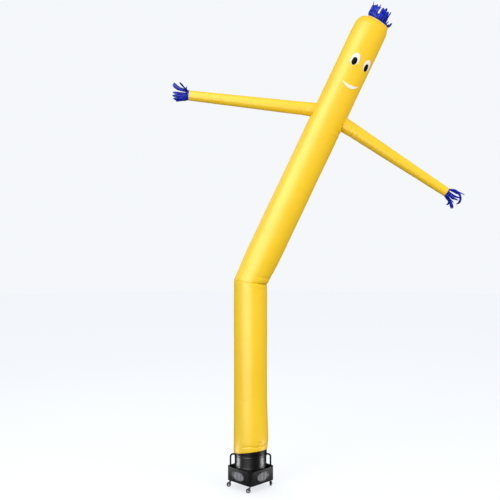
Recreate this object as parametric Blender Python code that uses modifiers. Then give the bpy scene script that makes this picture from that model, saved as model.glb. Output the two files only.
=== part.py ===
"""An inflatable air dancer on its blower base, seen from the front along +Y.

Metres, +Z up. The origin lies on the ground, under the middle of the whole figure. The dancer's tube stands
on the blower's outlet, bends once and leans to the right. Every angle round a tube is measured from its own
right side, anticlockwise from its tip, so that its front is at -90 degrees.
"""

from collections import namedtuple
from math import atan2, cos, degrees, exp, pi, radians, sin, tan

import bmesh
import bpy
from mathutils import Matrix, Vector

Section = namedtuple("Section", "height across through shift rings")
Fold = namedtuple("Fold", "angle height spread reach depth")
Slant = namedtuple("Slant", "none full right back")
Streamer = namedtuple("Streamer", "wide length lean curl sway twist fork")
Arm = namedtuple("Arm", "name body_height rise length root cuff folds streamers")
Caster = namedtuple("Caster", "place x y trails")

GAP = 0.0003
CLOTH = 0.002
PATCH = 0.0015
OVERRUN = 0.02

# Each tube is sewn from lengths of cloth, which start at these heights along it
LEG_LENGTHS = {"low": 0.40, "middle": 1.20, "high": 2.00}
BODY_LENGTHS = {"low": -0.20, "waist": 0.68, "middle": 1.37, "chest": 2.10, "head": 2.86}

LEG_X = -0.898
TUBE_SIDES = 28
ARM_SIDES = 14

# The leg tube, from the hem on the blower's collar to the bend
HEM_Z = 0.485
KINK_Z = 2.778
LEG_RADIUS = 0.2244
LEAN = radians(25.4)
SEAM_FALL = radians(8.0)
LEG_SECTIONS = (
    Section(HEM_Z, LEG_RADIUS, LEG_RADIUS, 0.0, 2),
    Section(0.545, LEG_RADIUS, LEG_RADIUS, 0.0, 6),
    Section(0.630, 0.2440, 0.2440, 0.0, 4),
    Section(0.700, 0.2420, 0.2420, 0.0, 3),
    Section(1.250, LEG_RADIUS, LEG_RADIUS, 0.0, 3),
    Section(2.580, LEG_RADIUS, LEG_RADIUS, 0.0, 8),
    Section(KINK_Z + OVERRUN, LEG_RADIUS, LEG_RADIUS, 0.0, 0),
)
LEG_FOLDS = (
    Fold(-45, 0.575, 40, 0.014, 0.009),
    Fold(-68, 0.645, 24, 0.014, 0.007),
    Fold(150, 0.610, 35, 0.018, 0.006),
    Fold(-30, 2.690, 35, 0.020, 0.008),
    Fold(-12, KINK_Z, 42, 0.040, 0.028),
)
LEG_SLANTS = (
    Slant(0.90, HEM_Z, 0.125, -0.156),
    Slant(2.40, KINK_Z, -tan(SEAM_FALL), 0.0),
)

# The body tube, measured along its own axis from the bend to the vent
BODY_LENGTH = 3.946
BODY_RADIUS = 0.2332
KINK_ACROSS = LEG_RADIUS * cos(LEAN - SEAM_FALL) / cos(SEAM_FALL)
VENT_RADIUS = 0.1600
VENT_SHIFT = 0.046
VENT_NECK = 0.012
BODY_SECTIONS = (
    Section(-OVERRUN, KINK_ACROSS, LEG_RADIUS, 0.0, 6),
    Section(0.120, 0.2215, 0.2270, 0.0, 3),
    Section(0.400, BODY_RADIUS, BODY_RADIUS, 0.0, 3),
    Section(2.180, BODY_RADIUS, BODY_RADIUS, 0.0, 7),
    Section(2.370, BODY_RADIUS, BODY_RADIUS, 0.0, 3),
    Section(2.760, BODY_RADIUS, BODY_RADIUS, 0.0, 2),
    Section(3.700, BODY_RADIUS, BODY_RADIUS, 0.0, 2),
    Section(3.826, 0.2275, 0.2290, 0.004, 2),
    Section(3.886, 0.2120, 0.2160, 0.010, 2),
    Section(3.926, 0.1890, 0.1930, 0.020, 2),
    Section(BODY_LENGTH, VENT_RADIUS, VENT_RADIUS, VENT_SHIFT, 1),
    Section(BODY_LENGTH + VENT_NECK, VENT_RADIUS, VENT_RADIUS, VENT_SHIFT, 0),
)
BODY_FOLDS = (
    Fold(-12, 0.000, 42, 0.040, 0.028),
    Fold(-40, 0.100, 40, 0.022, 0.008),
    Fold(-22, 2.320, 24, 0.018, 0.010),
    Fold(-30, 2.245, 20, 0.016, 0.008),
)
VENT_SLANT = Slant(3.78, BODY_LENGTH, -0.08, 0.12)
BODY_SLANTS = (
    Slant(0.45, 0.0, tan(LEAN - SEAM_FALL), 0.0),
    VENT_SLANT,
)

# The streamers, in order round their band from its left side past the front; a length of nothing is bare band
BAND_HEIGHT = 0.030
BAND_SEAT = 0.010
BARE = Streamer(1, 0, 0, 0, 0, 0, 0)
HAIR = (
    Streamer(2, 0.205, 8, 1, 1, 5, 30),
    Streamer(3, 0.225, 2, -1, -2, 3, 34),
    BARE,
    Streamer(3, 0.220, 3, 1, 1, -4, 30),
    Streamer(2, 0.160, 10, 2, -2, 5, 26),
    Streamer(2, 0.070, 20, 2, 0, 8, 0),
    Streamer(2, 0.085, 26, 4, 3, -8, 0),
    Streamer(2, 0.130, 15, 3, 1, 5, 24),
    Streamer(3, 0.205, 5, 1, -1, 4, 28),
    BARE,
    Streamer(3, 0.215, 3, -1, 1, -4, 30),
    Streamer(2, 0.190, 7, 2, -2, 6, 0),
    Streamer(2, 0.165, 10, 1, -1, -5, 24),
)
STREAMERS_LEFT = (
    Streamer(1, 0.190, 14, 6, -4, -14, 0),
    Streamer(1, 0.205, 6, 5, -3, 6, 0),
    Streamer(2, 0.220, 3, 1, 0, 4, 26),
    BARE,
    Streamer(1, 0.205, 38, 5, 2, 12, 0),
    Streamer(2, 0.285, 36, 1, -2, 16, 20),
    Streamer(1, 0.150, 62, 12, 3, -16, 0),
    BARE,
    Streamer(2, 0.190, 12, 2, 0, 6, 22),
    BARE,
    Streamer(1, 0.175, 18, 4, 4, -6, 0),
)
STREAMERS_RIGHT = (
    Streamer(2, 0.270, 10, -9, 3, -12, 24),
    BARE,
    Streamer(2, 0.170, 2, 2, 5, 4, 26),
    Streamer(1, 0.150, 12, 4, 2, 8, 0),
    Streamer(2, 0.215, 18, -2, 2, 14, 20),
    Streamer(1, 0.120, 30, -14, 0, -14, 0),
    BARE,
    Streamer(2, 0.190, 14, -2, 2, 8, 20),
    BARE,
    Streamer(1, 0.160, 8, 2, 3, -6, 0),
)
STREAMER_STEPS = 4
TINE_STEPS = 2
TINE_SHARE = 0.35
STREAMER_TIP = 0.78
TINE_TIP = 0.50

# The arms; rise is the angle of an arm's axis from straight up, towards the right
SEAM_ALLOWANCE = 0.010
ARM_START = 0.10
ARMHOLE_END = 0.32
ARMS = (
    Arm(
        "left", 2.564, -83.5, 1.949, 0.0940, 0.0696,
        (
            Fold(-150, 0.42, 50, 0.018, 0.006),
            Fold(-60, 0.95, 55, 0.020, 0.004),
            Fold(-120, 1.62, 50, 0.020, 0.004),
        ),
        STREAMERS_LEFT,
    ),
    Arm(
        "right", 2.510, 123.4, 1.899, 0.1010, 0.0640,
        (
            Fold(-30, 0.40, 45, 0.018, 0.008),
            Fold(-50, 0.47, 40, 0.016, 0.005),
            Fold(-110, 1.10, 55, 0.020, 0.004),
        ),
        STREAMERS_RIGHT,
    ),
)

# The face, sewn on to the body tube and turned a little to the right of the front
EYE_HEIGHT = 3.280
EYE_ANGLES = {"left": -94.2, "right": -44.9}
EYE_SIZE = (0.130, 0.188)
PUPIL_SIZE = (0.068, 0.110)
PUPIL_DROP = 0.027
SMILE_ANGLE = -71.0
SMILE_HEIGHT = 2.973
SMILE_CHORD = 0.262
SMILE_UPPER_SAG = 0.028
SMILE_LOWER_SAG = 0.075
SMILE_TILT = radians(7.0)
SMILE_STEPS = 10

# The blower
BASE_SIDE = 0.471
BASE_BOTTOM = 0.095
BASE_TOP = 0.280
CORNER_FLAT = 0.054
BASE_EDGE = 0.005
BARREL_RADIUS = 0.2176
BARREL_WALL = 0.004
BARREL_TOP = 0.545
COLLAR_BOTTOM = 0.457
COLLAR_WALL = 0.0038
GRILLE_SIZE = (0.232, 0.122)
GRILLE_RIM = 0.009
GRILLE_DEPTH = 0.012
RECESS_DEPTH = 0.030
GRILLE_SLOTS = 8
SLOT_SHARE = 0.52
HANDLE_X = 0.272
HANDLE_TOP = 0.4415
HANDLE_BEND = 0.040
HANDLE_RADIUS = 0.0105
BEND_STEPS = 5
CLIP_WIDTH = 0.024
CLIP_FOOT = 0.020
CLIP_HEIGHT = 0.034
CLIP_THICK = 0.004
CLIP_FACETS = (3, 11, 17, 25)

# The casters: a stem in the base, a fork that swivels on it and a wheel that trails behind
CASTERS = (
    Caster("front", 0.0, -0.268, 188),
    Caster("right", 0.268, 0.0, 72),
    Caster("back", 0.0, 0.268, 20),
    Caster("left", -0.268, 0.0, 205),
)
TRAIL = 0.030
WHEEL_RADIUS = 0.031
WHEEL_WIDTH = 0.022
WHEEL_SIDES = 24
AXLE_RADIUS = 0.004
STEM_RADIUS = 0.006
STEM_LENGTH = 0.030
ROUND_SIDES = 16
FORK_HEAD_RADIUS = 0.021
FORK_HEAD = 0.010
FORK_FOOT_RADIUS = 0.009
CHEEK_THICK = 0.003
CHEEK_GAP = 0.0015


def clear_scene():
    for thing in list(bpy.data.objects):
        bpy.data.objects.remove(thing, do_unlink=True)


def new_collection(name):
    collection = bpy.data.collections.new(name)
    bpy.context.scene.collection.children.link(collection)
    return collection


def new_material(name, color, roughness, metallic=0.0):
    material = bpy.data.materials.new(name)
    material.use_nodes = True
    shader = material.node_tree.nodes["Principled BSDF"]
    shader.inputs["Base Color"].default_value = (*color, 1.0)
    shader.inputs["Roughness"].default_value = roughness
    shader.inputs["Metallic"].default_value = metallic
    material.diffuse_color = (*color, 1.0)
    return material


def new_empty(name, matrix, parent=None):
    empty = bpy.data.objects.new(name, None)
    PARTS.objects.link(empty)
    empty.parent = parent
    empty.matrix_local = matrix
    return empty


def new_object(name, shape, parent, material=None, matrix=None):
    """A part from a bmesh or a mesh; without a material it is a cutter."""
    if isinstance(shape, bmesh.types.BMesh):
        mesh = bpy.data.meshes.new(name)
        shape.to_mesh(mesh)
        shape.free()
    else:
        mesh = shape
    thing = bpy.data.objects.new(name, mesh)
    thing.parent = parent
    thing.matrix_local = matrix or Matrix()
    if material is None:
        CUTTERS.objects.link(thing)
        thing.hide_render = True
        thing.display_type = "WIRE"
    else:
        PARTS.objects.link(thing)
        if material.name not in mesh.materials:
            mesh.materials.append(material)
    return thing


def finished_mesh(thing):
    """The thing's mesh with its modifiers, or with its curve, worked in."""
    evaluated = thing.evaluated_get(bpy.context.evaluated_depsgraph_get())
    return bpy.data.meshes.new_from_object(evaluated)


def add_boolean(thing, operation, operand):
    modifier = thing.modifiers.new(operation.lower(), "BOOLEAN")
    modifier.operation = operation
    modifier.solver = "EXACT"
    modifier.object = operand


def add_thickness(thing, thickness, outward=False):
    modifier = thing.modifiers.new("thickness", "SOLIDIFY")
    modifier.thickness = thickness
    modifier.offset = 1.0 if outward else -1.0
    modifier.use_even_offset = True


def shade(thing, angle=40.0):
    thing.data.shade_smooth()
    thing.data.set_sharp_from_angle(angle=radians(angle))


def cylinder(radius, depth, sides, middle=0.0, top_radius=None):
    """A capped cylinder or cone about Z, turned so that flats face its four sides."""
    bm = bmesh.new()
    turn = Matrix.Rotation(pi / sides, 4, "Z")
    top = radius if top_radius is None else top_radius
    bmesh.ops.create_cone(bm, cap_ends=True, segments=sides, radius1=radius, radius2=top, depth=depth,
                          matrix=Matrix.Translation((0, 0, middle)) @ turn)
    return bm


def open_ring(sides, rows):
    """An open tube of radius one, a unit tall for each row of faces, with its normals outward."""
    bm = bmesh.new()
    place = Matrix.Translation((0, 0, rows / 2)) @ Matrix.Rotation(pi / sides, 4, "Z")
    bmesh.ops.create_cone(bm, cap_ends=False, segments=sides, radius1=1, radius2=1, depth=rows, matrix=place)
    if rows > 1:
        uprights = [edge for edge in bm.edges if abs(edge.verts[0].co.z - edge.verts[1].co.z) > 0.5]
        bmesh.ops.subdivide_edges(bm, edges=uprights, cuts=rows - 1, use_grid_fill=True)
    return bm


def box(size, middle):
    bm = bmesh.new()
    bmesh.ops.create_cube(bm, size=1, matrix=Matrix.Translation(middle) @ Matrix.Diagonal((*size, 1)))
    return bm


# Tubes of cloth


def ring_heights(sections):
    heights = []
    for low, high in zip(sections, sections[1:]):
        step = (high.height - low.height) / low.rings
        heights += [low.height + step * ring for ring in range(low.rings)]
    return heights + [sections[-1].height]


def section_at(sections, height):
    """The radius across, the radius through and the sideways shift at a height."""
    for low, high in zip(sections, sections[1:]):
        if height <= high.height + 1e-9:
            break
    share = (height - low.height) / (high.height - low.height)
    return [low[field] + (high[field] - low[field]) * share for field in (1, 2, 3)]


def fold_depth(folds, angle, height):
    depth = 0.0
    for fold in folds:
        turn = (angle - fold.angle + 180) % 360 - 180
        depth += fold.depth * exp(-(turn / fold.spread) ** 2 - ((height - fold.height) / fold.reach) ** 2)
    return depth


def slant_rise(slants, height, x, y):
    rise = 0.0
    for slant in slants:
        share = (height - slant.none) / (slant.full - slant.none)
        rise += min(max(share, 0.0), 1.0) * (slant.right * x + slant.back * y)
    return rise


def cloth_tube(name, parent, material, sides, sections, folds, slants):
    """A tube of cloth about its parent's Z, with its sections, folds and slanting ends."""
    heights = ring_heights(sections)
    bm = open_ring(sides, len(heights) - 1)
    for vert in bm.verts:
        angle = atan2(vert.co.y, vert.co.x)
        height = heights[round(vert.co.z)]
        across, through, shift = section_at(sections, height)
        kept = 1 - fold_depth(folds, degrees(angle), height) / across
        x = across * kept * cos(angle)
        y = through * kept * sin(angle)
        vert.co = (x + shift, y, height + slant_rise(slants, height, x, y))
    tube = new_object(name, bm, parent, material)
    tube.data.shade_smooth()
    add_thickness(tube, CLOTH)
    return tube


def build_leg(stand):
    leg = cloth_tube("leg_tube", stand, None, TUBE_SIDES, LEG_SECTIONS, LEG_FOLDS, LEG_SLANTS)
    add_boolean(leg, "DIFFERENCE", bend_cutter("above_the_bend", stand, 1))
    return leg


def bend_cutter(name, stand, side):
    """A block on one side of the seam at the bend, half a gap short of it."""
    size = 0.8
    block = box((size, size, size / 4), (0, 0, side * (size / 8 - GAP / 2)))
    place = Matrix.Translation((0, 0, KINK_Z)) @ Matrix.Rotation(SEAM_FALL, 4, "Y")
    return new_object(name, block, stand, matrix=place)


def build_body(stand, bend):
    body = cloth_tube("body_tube", bend, None, TUBE_SIDES, BODY_SECTIONS, BODY_FOLDS, BODY_SLANTS)
    add_boolean(body, "DIFFERENCE", bend_cutter("below_the_bend", stand, -1))
    return body


def cut_lengths(name, tube, lengths):
    """The tube in lengths of cloth, each half a gap short of the seams at its ends."""
    bpy.context.view_layer.update()
    mesh = finished_mesh(tube)
    starts = list(lengths.values())
    ends = starts[1:] + [tube.bound_box[6][2] + 1]
    for place, start, end in zip(lengths, starts, ends):
        piece = new_object(f"{name}_{place}", mesh.copy(), tube.parent, YELLOW)
        block = box((1, 1, end - start - GAP), (0, 0, (start + end) / 2))
        add_boolean(piece, "INTERSECT", new_object(f"{name}_limit_{place}", block, tube.parent))


def arm_sections(arm):
    return (
        Section(ARM_START, arm.root, arm.root, 0.0, 1),
        Section(0.34, taper(arm, 0.34), taper(arm, 0.34), 0.0, 7),
        Section(0.55, taper(arm, 0.55), taper(arm, 0.55), 0.0, 8),
        Section(arm.length, arm.cuff, arm.cuff, 0.0, 0),
    )


def taper(arm, height):
    """The arm's radius at a distance from the body tube's axis."""
    share = (height - ARM_START) / (arm.length - ARM_START)
    return arm.root + (arm.cuff - arm.root) * share


def build_arm(arm, bend, body):
    """An arm that starts a seam allowance inside its armhole in the body tube."""
    place = Matrix.Translation((0, 0, arm.body_height)) @ Matrix.Rotation(radians(arm.rise) - LEAN, 4, "Y")
    axis = new_empty(f"arm_{arm.name}_axis", place, bend)
    tube = cloth_tube(f"arm_{arm.name}", axis, YELLOW, ARM_SIDES, arm_sections(arm), arm.folds, ())
    core_radius = BODY_RADIUS - CLOTH - SEAM_ALLOWANCE
    core = new_object(f"body_core_{arm.name}", cylinder(core_radius, 0.8, TUBE_SIDES, arm.body_height), bend)
    add_boolean(tube, "DIFFERENCE", core)
    loose = GAP / cos(pi / ARM_SIDES)
    plug = cylinder(arm.root + loose, ARMHOLE_END - ARM_START, ARM_SIDES, (ARMHOLE_END + ARM_START) / 2,
                    taper(arm, ARMHOLE_END) + loose)
    add_boolean(body, "DIFFERENCE", new_object(f"armhole_{arm.name}", plug, axis))
    cuff = Slant(0.0, 1.0, 0.0, 0.0)
    build_fringe(f"hand_fringe_{arm.name}", axis, ARM_SIDES, arm.cuff, arm.length, 0.0, cuff, arm.streamers)


# Streamers


def grow(bm, edges, turn, length, steps, tip, bend):
    """Extends a row of edges into a strip that bends at each step; returns its last edges and its turn."""
    roots = {vert: vert.co.copy() for edge in edges for vert in edge.verts}
    middle = sum(roots.values(), Vector()) / len(roots)
    offsets = {vert: turn.inverted() @ (place - middle) for vert, place in roots.items()}
    for step in range(1, steps + 1):
        turn = turn @ bend
        middle = middle + turn @ Vector((0, 0, length / steps))
        width = 1 + (tip - 1) * step / steps
        sources = list(offsets)
        grown = bmesh.ops.extrude_edge_only(bm, edges=edges)["geom"]
        edges = [item for item in grown if isinstance(item, bmesh.types.BMEdge)]
        fresh = [item for item in grown if isinstance(item, bmesh.types.BMVert)]
        below = {vert: next(s for s in sources if (s.co - vert.co).length < 1e-7) for vert in fresh}
        offsets = {vert: offsets[source] for vert, source in below.items()}
        for vert, offset in offsets.items():
            vert.co = middle + turn @ (offset * width)
    return edges, turn


def build_fringe(name, parent, sides, sleeve_radius, height, shift, slant, streamers):
    """A band seated inside a sleeve's end, with streamers cut in one with it."""
    bm = open_ring(sides, 1)
    rim = [edge for edge in bm.edges if all(vert.co.z > 0.5 for vert in edge.verts)]
    radius = sleeve_radius - (CLOTH + GAP) / cos(pi / sides)
    for vert in bm.verts:
        x, y = vert.co.x * radius, vert.co.y * radius
        level = height - BAND_SEAT + vert.co.z * BAND_HEIGHT
        vert.co = (x + shift, y, level + slant.right * x + slant.back * y)
    rim.sort(key=lambda edge: middle_angle(edge, shift))
    first = 0
    for streamer in streamers:
        edges = rim[first:first + streamer.wide]
        first += streamer.wide
        if streamer.length:
            grow_streamer(bm, edges, streamer, shift)
    fringe = new_object(name, bm, parent, BLUE)
    fringe.data.shade_smooth()
    add_thickness(fringe, CLOTH)
    return fringe


def middle_angle(edge, shift):
    """The edge's place round its band, from the left side past the front."""
    middle = (edge.verts[0].co + edge.verts[1].co) / 2
    return (degrees(atan2(middle.y, middle.x - shift)) + 180) % 360


def step_turn(curl, sway, twist):
    """How a strip turns at each step: out from its band, sideways, and about its own length."""
    out = Matrix.Rotation(radians(curl), 3, "Y")
    aside = Matrix.Rotation(radians(sway), 3, "X")
    return out @ aside @ Matrix.Rotation(radians(twist), 3, "Z")


def grow_streamer(bm, edges, streamer, shift):
    corners = {vert for edge in edges for vert in edge.verts}
    middle = sum((vert.co for vert in corners), Vector()) / len(corners)
    outward = Matrix.Rotation(atan2(middle.y, middle.x - shift), 3, "Z")
    turn = outward @ Matrix.Rotation(radians(streamer.lean), 3, "Y")
    share = 1 - TINE_SHARE if streamer.fork else 1
    bend = step_turn(streamer.curl, streamer.sway, streamer.twist)
    edges, turn = grow(bm, edges, turn, streamer.length * share, STREAMER_STEPS, STREAMER_TIP, bend)
    if not streamer.fork:
        return
    half = len(edges) // 2
    spread = streamer.fork / 2 / TINE_STEPS
    edges.sort(key=lambda edge: (turn.inverted() @ (edge.verts[0].co + edge.verts[1].co)).y)
    for tine, sway in ((edges[:half], spread), (edges[half:], -spread)):
        bend = step_turn(streamer.curl, sway, 0)
        grow(bm, tine, turn, streamer.length * TINE_SHARE, TINE_STEPS, TINE_TIP, bend)


# The face


def facing(angle, height):
    """The place on the body tube's axis that looks out at an angle, with X to the right and Y up the tube."""
    turn = Matrix.Rotation(radians(angle + 90), 4, "Z") @ Matrix.Rotation(pi / 2, 4, "X")
    return Matrix.Translation((0, 0, height)) @ turn


def build_patch(name, bend, material, layer, height, cutter):
    """A patch of cloth that follows the body tube's flats, cut to the cutter's outline."""
    bm = open_ring(TUBE_SIDES, 1)
    radius = BODY_RADIUS + (GAP * (layer + 1) + PATCH * layer) / cos(pi / TUBE_SIDES)
    bmesh.ops.scale(bm, vec=(radius, radius, 0.30), verts=bm.verts)
    bmesh.ops.translate(bm, vec=(0, 0, height - 0.15), verts=bm.verts)
    patch = new_object(name, bm, bend, material)
    add_thickness(patch, PATCH, outward=True)
    add_boolean(patch, "INTERSECT", cutter)
    return patch


def oval_cutter(name, bend, angle, height, size):
    bm = cylinder(1, 0.12, 24, BODY_RADIUS)
    bmesh.ops.scale(bm, vec=(size[0] / 2, size[1] / 2, 1), verts=bm.verts)
    return new_object(name, bm, bend, matrix=facing(angle, height))


def smile_cutter(bend):
    """A crescent between two shallow arcs, as a thick plate."""
    def arc(sag):
        spots = [-1 + 2 * step / SMILE_STEPS for step in range(SMILE_STEPS + 1)]
        return [(spot * SMILE_CHORD / 2, sag * (spot ** 2 - 1)) for spot in spots]

    outline = arc(SMILE_LOWER_SAG) + arc(SMILE_UPPER_SAG)[-2:0:-1]
    curve = bpy.data.curves.new("smile_outline", "CURVE")
    curve.dimensions = "2D"
    curve.fill_mode = "BOTH"
    curve.extrude = 0.06
    spline = curve.splines.new("POLY")
    spline.points.add(len(outline) - 1)
    for point, (x, y) in zip(spline.points, outline):
        point.co = (x, y, 0, 1)
    spline.use_cyclic_u = True
    place = facing(SMILE_ANGLE, SMILE_HEIGHT) @ Matrix.Translation((0, 0, BODY_RADIUS))
    flat = new_object("smile_flat", curve, bend, matrix=place @ Matrix.Rotation(SMILE_TILT, 4, "Z"))
    return curve_to_cutter(flat)


def curve_to_mesh(thing):
    """The curve's mesh, with its loose caps welded on."""
    bpy.context.view_layer.update()
    mesh = finished_mesh(thing)
    bm = bmesh.new()
    bm.from_mesh(mesh)
    bmesh.ops.remove_doubles(bm, verts=bm.verts, dist=0.00001)
    bm.to_mesh(mesh)
    bm.free()
    return mesh


def curve_to_cutter(flat):
    mesh = curve_to_mesh(flat)
    name, parent, place = flat.name, flat.parent, flat.matrix_local.copy()
    bpy.data.objects.remove(flat)
    return new_object(f"{name}_plate", mesh, parent, matrix=place)


def build_face(bend):
    for side, angle in EYE_ANGLES.items():
        white = oval_cutter(f"white_outline_{side}", bend, angle, EYE_HEIGHT, EYE_SIZE)
        build_patch(f"eye_white_{side}", bend, WHITE, 0, EYE_HEIGHT, white)
        low = EYE_HEIGHT - PUPIL_DROP
        pupil = oval_cutter(f"pupil_outline_{side}", bend, angle, low, PUPIL_SIZE)
        build_patch(f"pupil_{side}", bend, BLACK_CLOTH, 1, low, pupil)
    build_patch("smile", bend, WHITE, 0, SMILE_HEIGHT, smile_cutter(bend))


# The blower


def build_base(stand):
    """A square housing turned corner to the front, with flat corners, grille recesses and stem sockets."""
    height = BASE_TOP - BASE_BOTTOM
    bm = box((BASE_SIDE, BASE_SIDE, height), (0, 0, BASE_BOTTOM + height / 2))
    bmesh.ops.rotate(bm, cent=(0, 0, 0), matrix=Matrix.Rotation(pi / 4, 3, "Z"), verts=bm.verts)
    uprights = [edge for edge in bm.edges if abs(edge.verts[0].co.z - edge.verts[1].co.z) > height / 2]
    bmesh.ops.bevel(bm, geom=uprights, offset=CORNER_FLAT / 2 ** 0.5, segments=1, affect="EDGES")
    level = [edge for edge in bm.edges if abs(edge.verts[0].co.z - edge.verts[1].co.z) < 0.001]
    bmesh.ops.bevel(bm, geom=level, offset=BASE_EDGE, segments=1, affect="EDGES")
    base = new_object("base_housing", bm, stand, HOUSING)
    shade(base, 25)
    for number, place in enumerate(grille_places(), 1):
        recess = new_object(f"recess_{number}", oval_plate(0.0, RECESS_DEPTH * 2), stand, matrix=place)
        add_boolean(base, "DIFFERENCE", recess)
    for caster in CASTERS:
        socket = cylinder(STEM_RADIUS + GAP / cos(pi / ROUND_SIDES), 2 * (STEM_LENGTH + GAP), ROUND_SIDES)
        place = Matrix.Translation((caster.x, caster.y, BASE_BOTTOM))
        add_boolean(base, "DIFFERENCE", new_object(f"socket_{caster.place}", socket, stand, matrix=place))
    return base


def grille_places():
    """The middle of each side face, with X along it, Y up and Z outward."""
    middle = (BASE_TOP + BASE_BOTTOM) / 2
    places = []
    for quarter in range(4):
        angle = -135 + 90 * quarter
        out = Matrix.Rotation(radians(angle + 90), 4, "Z") @ Matrix.Rotation(pi / 2, 4, "X")
        places.append(Matrix.Translation((0, 0, middle)) @ out @ Matrix.Translation((0, 0, BASE_SIDE / 2)))
    return places


def oval_plate(inset, thickness, middle=0.0):
    bm = cylinder(1, thickness, TUBE_SIDES, middle)
    size = (GRILLE_SIZE[0] / 2 - inset, GRILLE_SIZE[1] / 2 - inset, 1)
    bmesh.ops.scale(bm, vec=size, verts=bm.verts)
    return bm


def build_grilles(stand):
    """Four like grilles, each an oval plate with upright slots."""
    middle = -GRILLE_DEPTH / 2 - 0.003
    proto = new_object("grille_proto", oval_plate(GAP, GRILLE_DEPTH, middle), stand)
    slots = bmesh.new()
    pitch = (GRILLE_SIZE[0] - 2 * GRILLE_RIM) / GRILLE_SLOTS
    for number in range(GRILLE_SLOTS):
        x = (number - (GRILLE_SLOTS - 1) / 2) * pitch
        place = Matrix.Translation((x, 0, middle)) @ Matrix.Diagonal((pitch * SLOT_SHARE, 0.2, 0.03, 1))
        bmesh.ops.create_cube(slots, size=1, matrix=place)
    slots = new_object("grille_slots", slots, stand)
    add_boolean(slots, "INTERSECT", new_object("slot_limit", oval_plate(GRILLE_RIM, 0.1), stand))
    add_boolean(proto, "DIFFERENCE", slots)
    bpy.context.view_layer.update()
    mesh = finished_mesh(proto)
    mesh.name = "intake_grille"
    for number, place in enumerate(grille_places(), 1):
        shade(new_object(f"intake_grille_{number}", mesh, stand, GRILLE, place), 25)


def pipe(name, stand, material, radius, low, high, wall, outward):
    """A plain round pipe whose wall grows inward or outward from its radius."""
    bm = open_ring(TUBE_SIDES, 1)
    bmesh.ops.scale(bm, vec=(radius, radius, high - low), verts=bm.verts)
    bmesh.ops.translate(bm, vec=(0, 0, low), verts=bm.verts)
    thing = new_object(name, bm, stand, material)
    add_thickness(thing, wall, outward)
    shade(thing)
    return thing


def build_outlet(stand):
    pipe("outlet_barrel", stand, BARREL, BARREL_RADIUS, BASE_TOP + GAP, BARREL_TOP, BARREL_WALL, False)
    inner = BARREL_RADIUS + GAP / cos(pi / TUBE_SIDES)
    pipe("outlet_collar", stand, BLACK_PLASTIC, inner, COLLAR_BOTTOM, BARREL_TOP, COLLAR_WALL, True)


def build_clips(stand):
    """Angle brackets that hold the barrel's foot to the base."""
    flat = BARREL_RADIUS * cos(pi / TUBE_SIDES) + GAP
    foot = BASE_TOP + GAP
    for number, facet in enumerate(CLIP_FACETS, 1):
        clip = box((CLIP_THICK, CLIP_WIDTH, CLIP_HEIGHT), (flat + CLIP_THICK / 2, 0, foot + CLIP_HEIGHT / 2))
        turn = Matrix.Rotation(-2 * pi * facet / TUBE_SIDES, 4, "Z")
        shelf = box((CLIP_FOOT, CLIP_WIDTH, CLIP_THICK), (flat + CLIP_FOOT / 2, 0, foot + CLIP_THICK / 2))
        thing = new_object(f"barrel_clip_{number}", clip, stand, BLACK_PLASTIC, turn)
        add_boolean(thing, "UNION", new_object(f"clip_foot_{number}", shelf, stand, matrix=turn))


def build_handles(stand):
    """Bent tubes that rise from the base's side corners and turn in to the barrel."""
    inner = BARREL_RADIUS * cos(pi / TUBE_SIDES) + GAP
    centre = (HANDLE_X - HANDLE_BEND, HANDLE_TOP - HANDLE_BEND)
    path = [(HANDLE_X, BASE_TOP + GAP)]
    for step in range(BEND_STEPS + 1):
        angle = pi / 2 * step / BEND_STEPS
        path.append((centre[0] + HANDLE_BEND * cos(angle), centre[1] + HANDLE_BEND * sin(angle)))
    path.append((inner, HANDLE_TOP))
    for name, side in (("left", -1), ("right", 1)):
        curve = bpy.data.curves.new(f"handle_{name}", "CURVE")
        curve.dimensions = "3D"
        curve.bevel_depth = HANDLE_RADIUS
        curve.bevel_resolution = 2
        curve.use_fill_caps = True
        spline = curve.splines.new("POLY")
        spline.points.add(len(path) - 1)
        for point, (x, z) in zip(spline.points, path):
            point.co = (side * x, 0, z, 1)
        new_object(f"handle_{name}", curve, stand, STEEL_BLACK)


# The casters


def build_casters(stand):
    fork = fork_mesh(stand)
    wheel = wheel_mesh(stand)
    for caster in CASTERS:
        place = Matrix.Translation((caster.x, caster.y, 0)) @ Matrix.Rotation(radians(caster.trails), 4, "Z")
        swivel = new_empty(f"caster_swivel_{caster.place}", place, stand)
        shade(new_object(f"caster_fork_{caster.place}", fork, swivel, ZINC))
        axle = Matrix.Translation((TRAIL, 0, WHEEL_RADIUS))
        shade(new_object(f"caster_wheel_{caster.place}", wheel, swivel, TYRE, axle))


def wheel_mesh(stand):
    """A wheel about Y with a flat facet under it, whose bore turns on the axle."""
    across = WHEEL_RADIUS / cos(pi / WHEEL_SIDES)
    upright = Matrix.Rotation(pi / 2, 4, "X")
    wheel = new_object("wheel_proto", cylinder(across, WHEEL_WIDTH, WHEEL_SIDES), stand, matrix=upright)
    bore = AXLE_RADIUS + GAP / cos(pi / ROUND_SIDES)
    cutter = new_object("wheel_bore", cylinder(bore, 2 * WHEEL_WIDTH, ROUND_SIDES), stand, matrix=upright)
    add_boolean(wheel, "DIFFERENCE", cutter)
    bpy.context.view_layer.update()
    mesh = finished_mesh(wheel)
    mesh.transform(upright)
    mesh.name = "caster_wheel"
    return mesh


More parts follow.
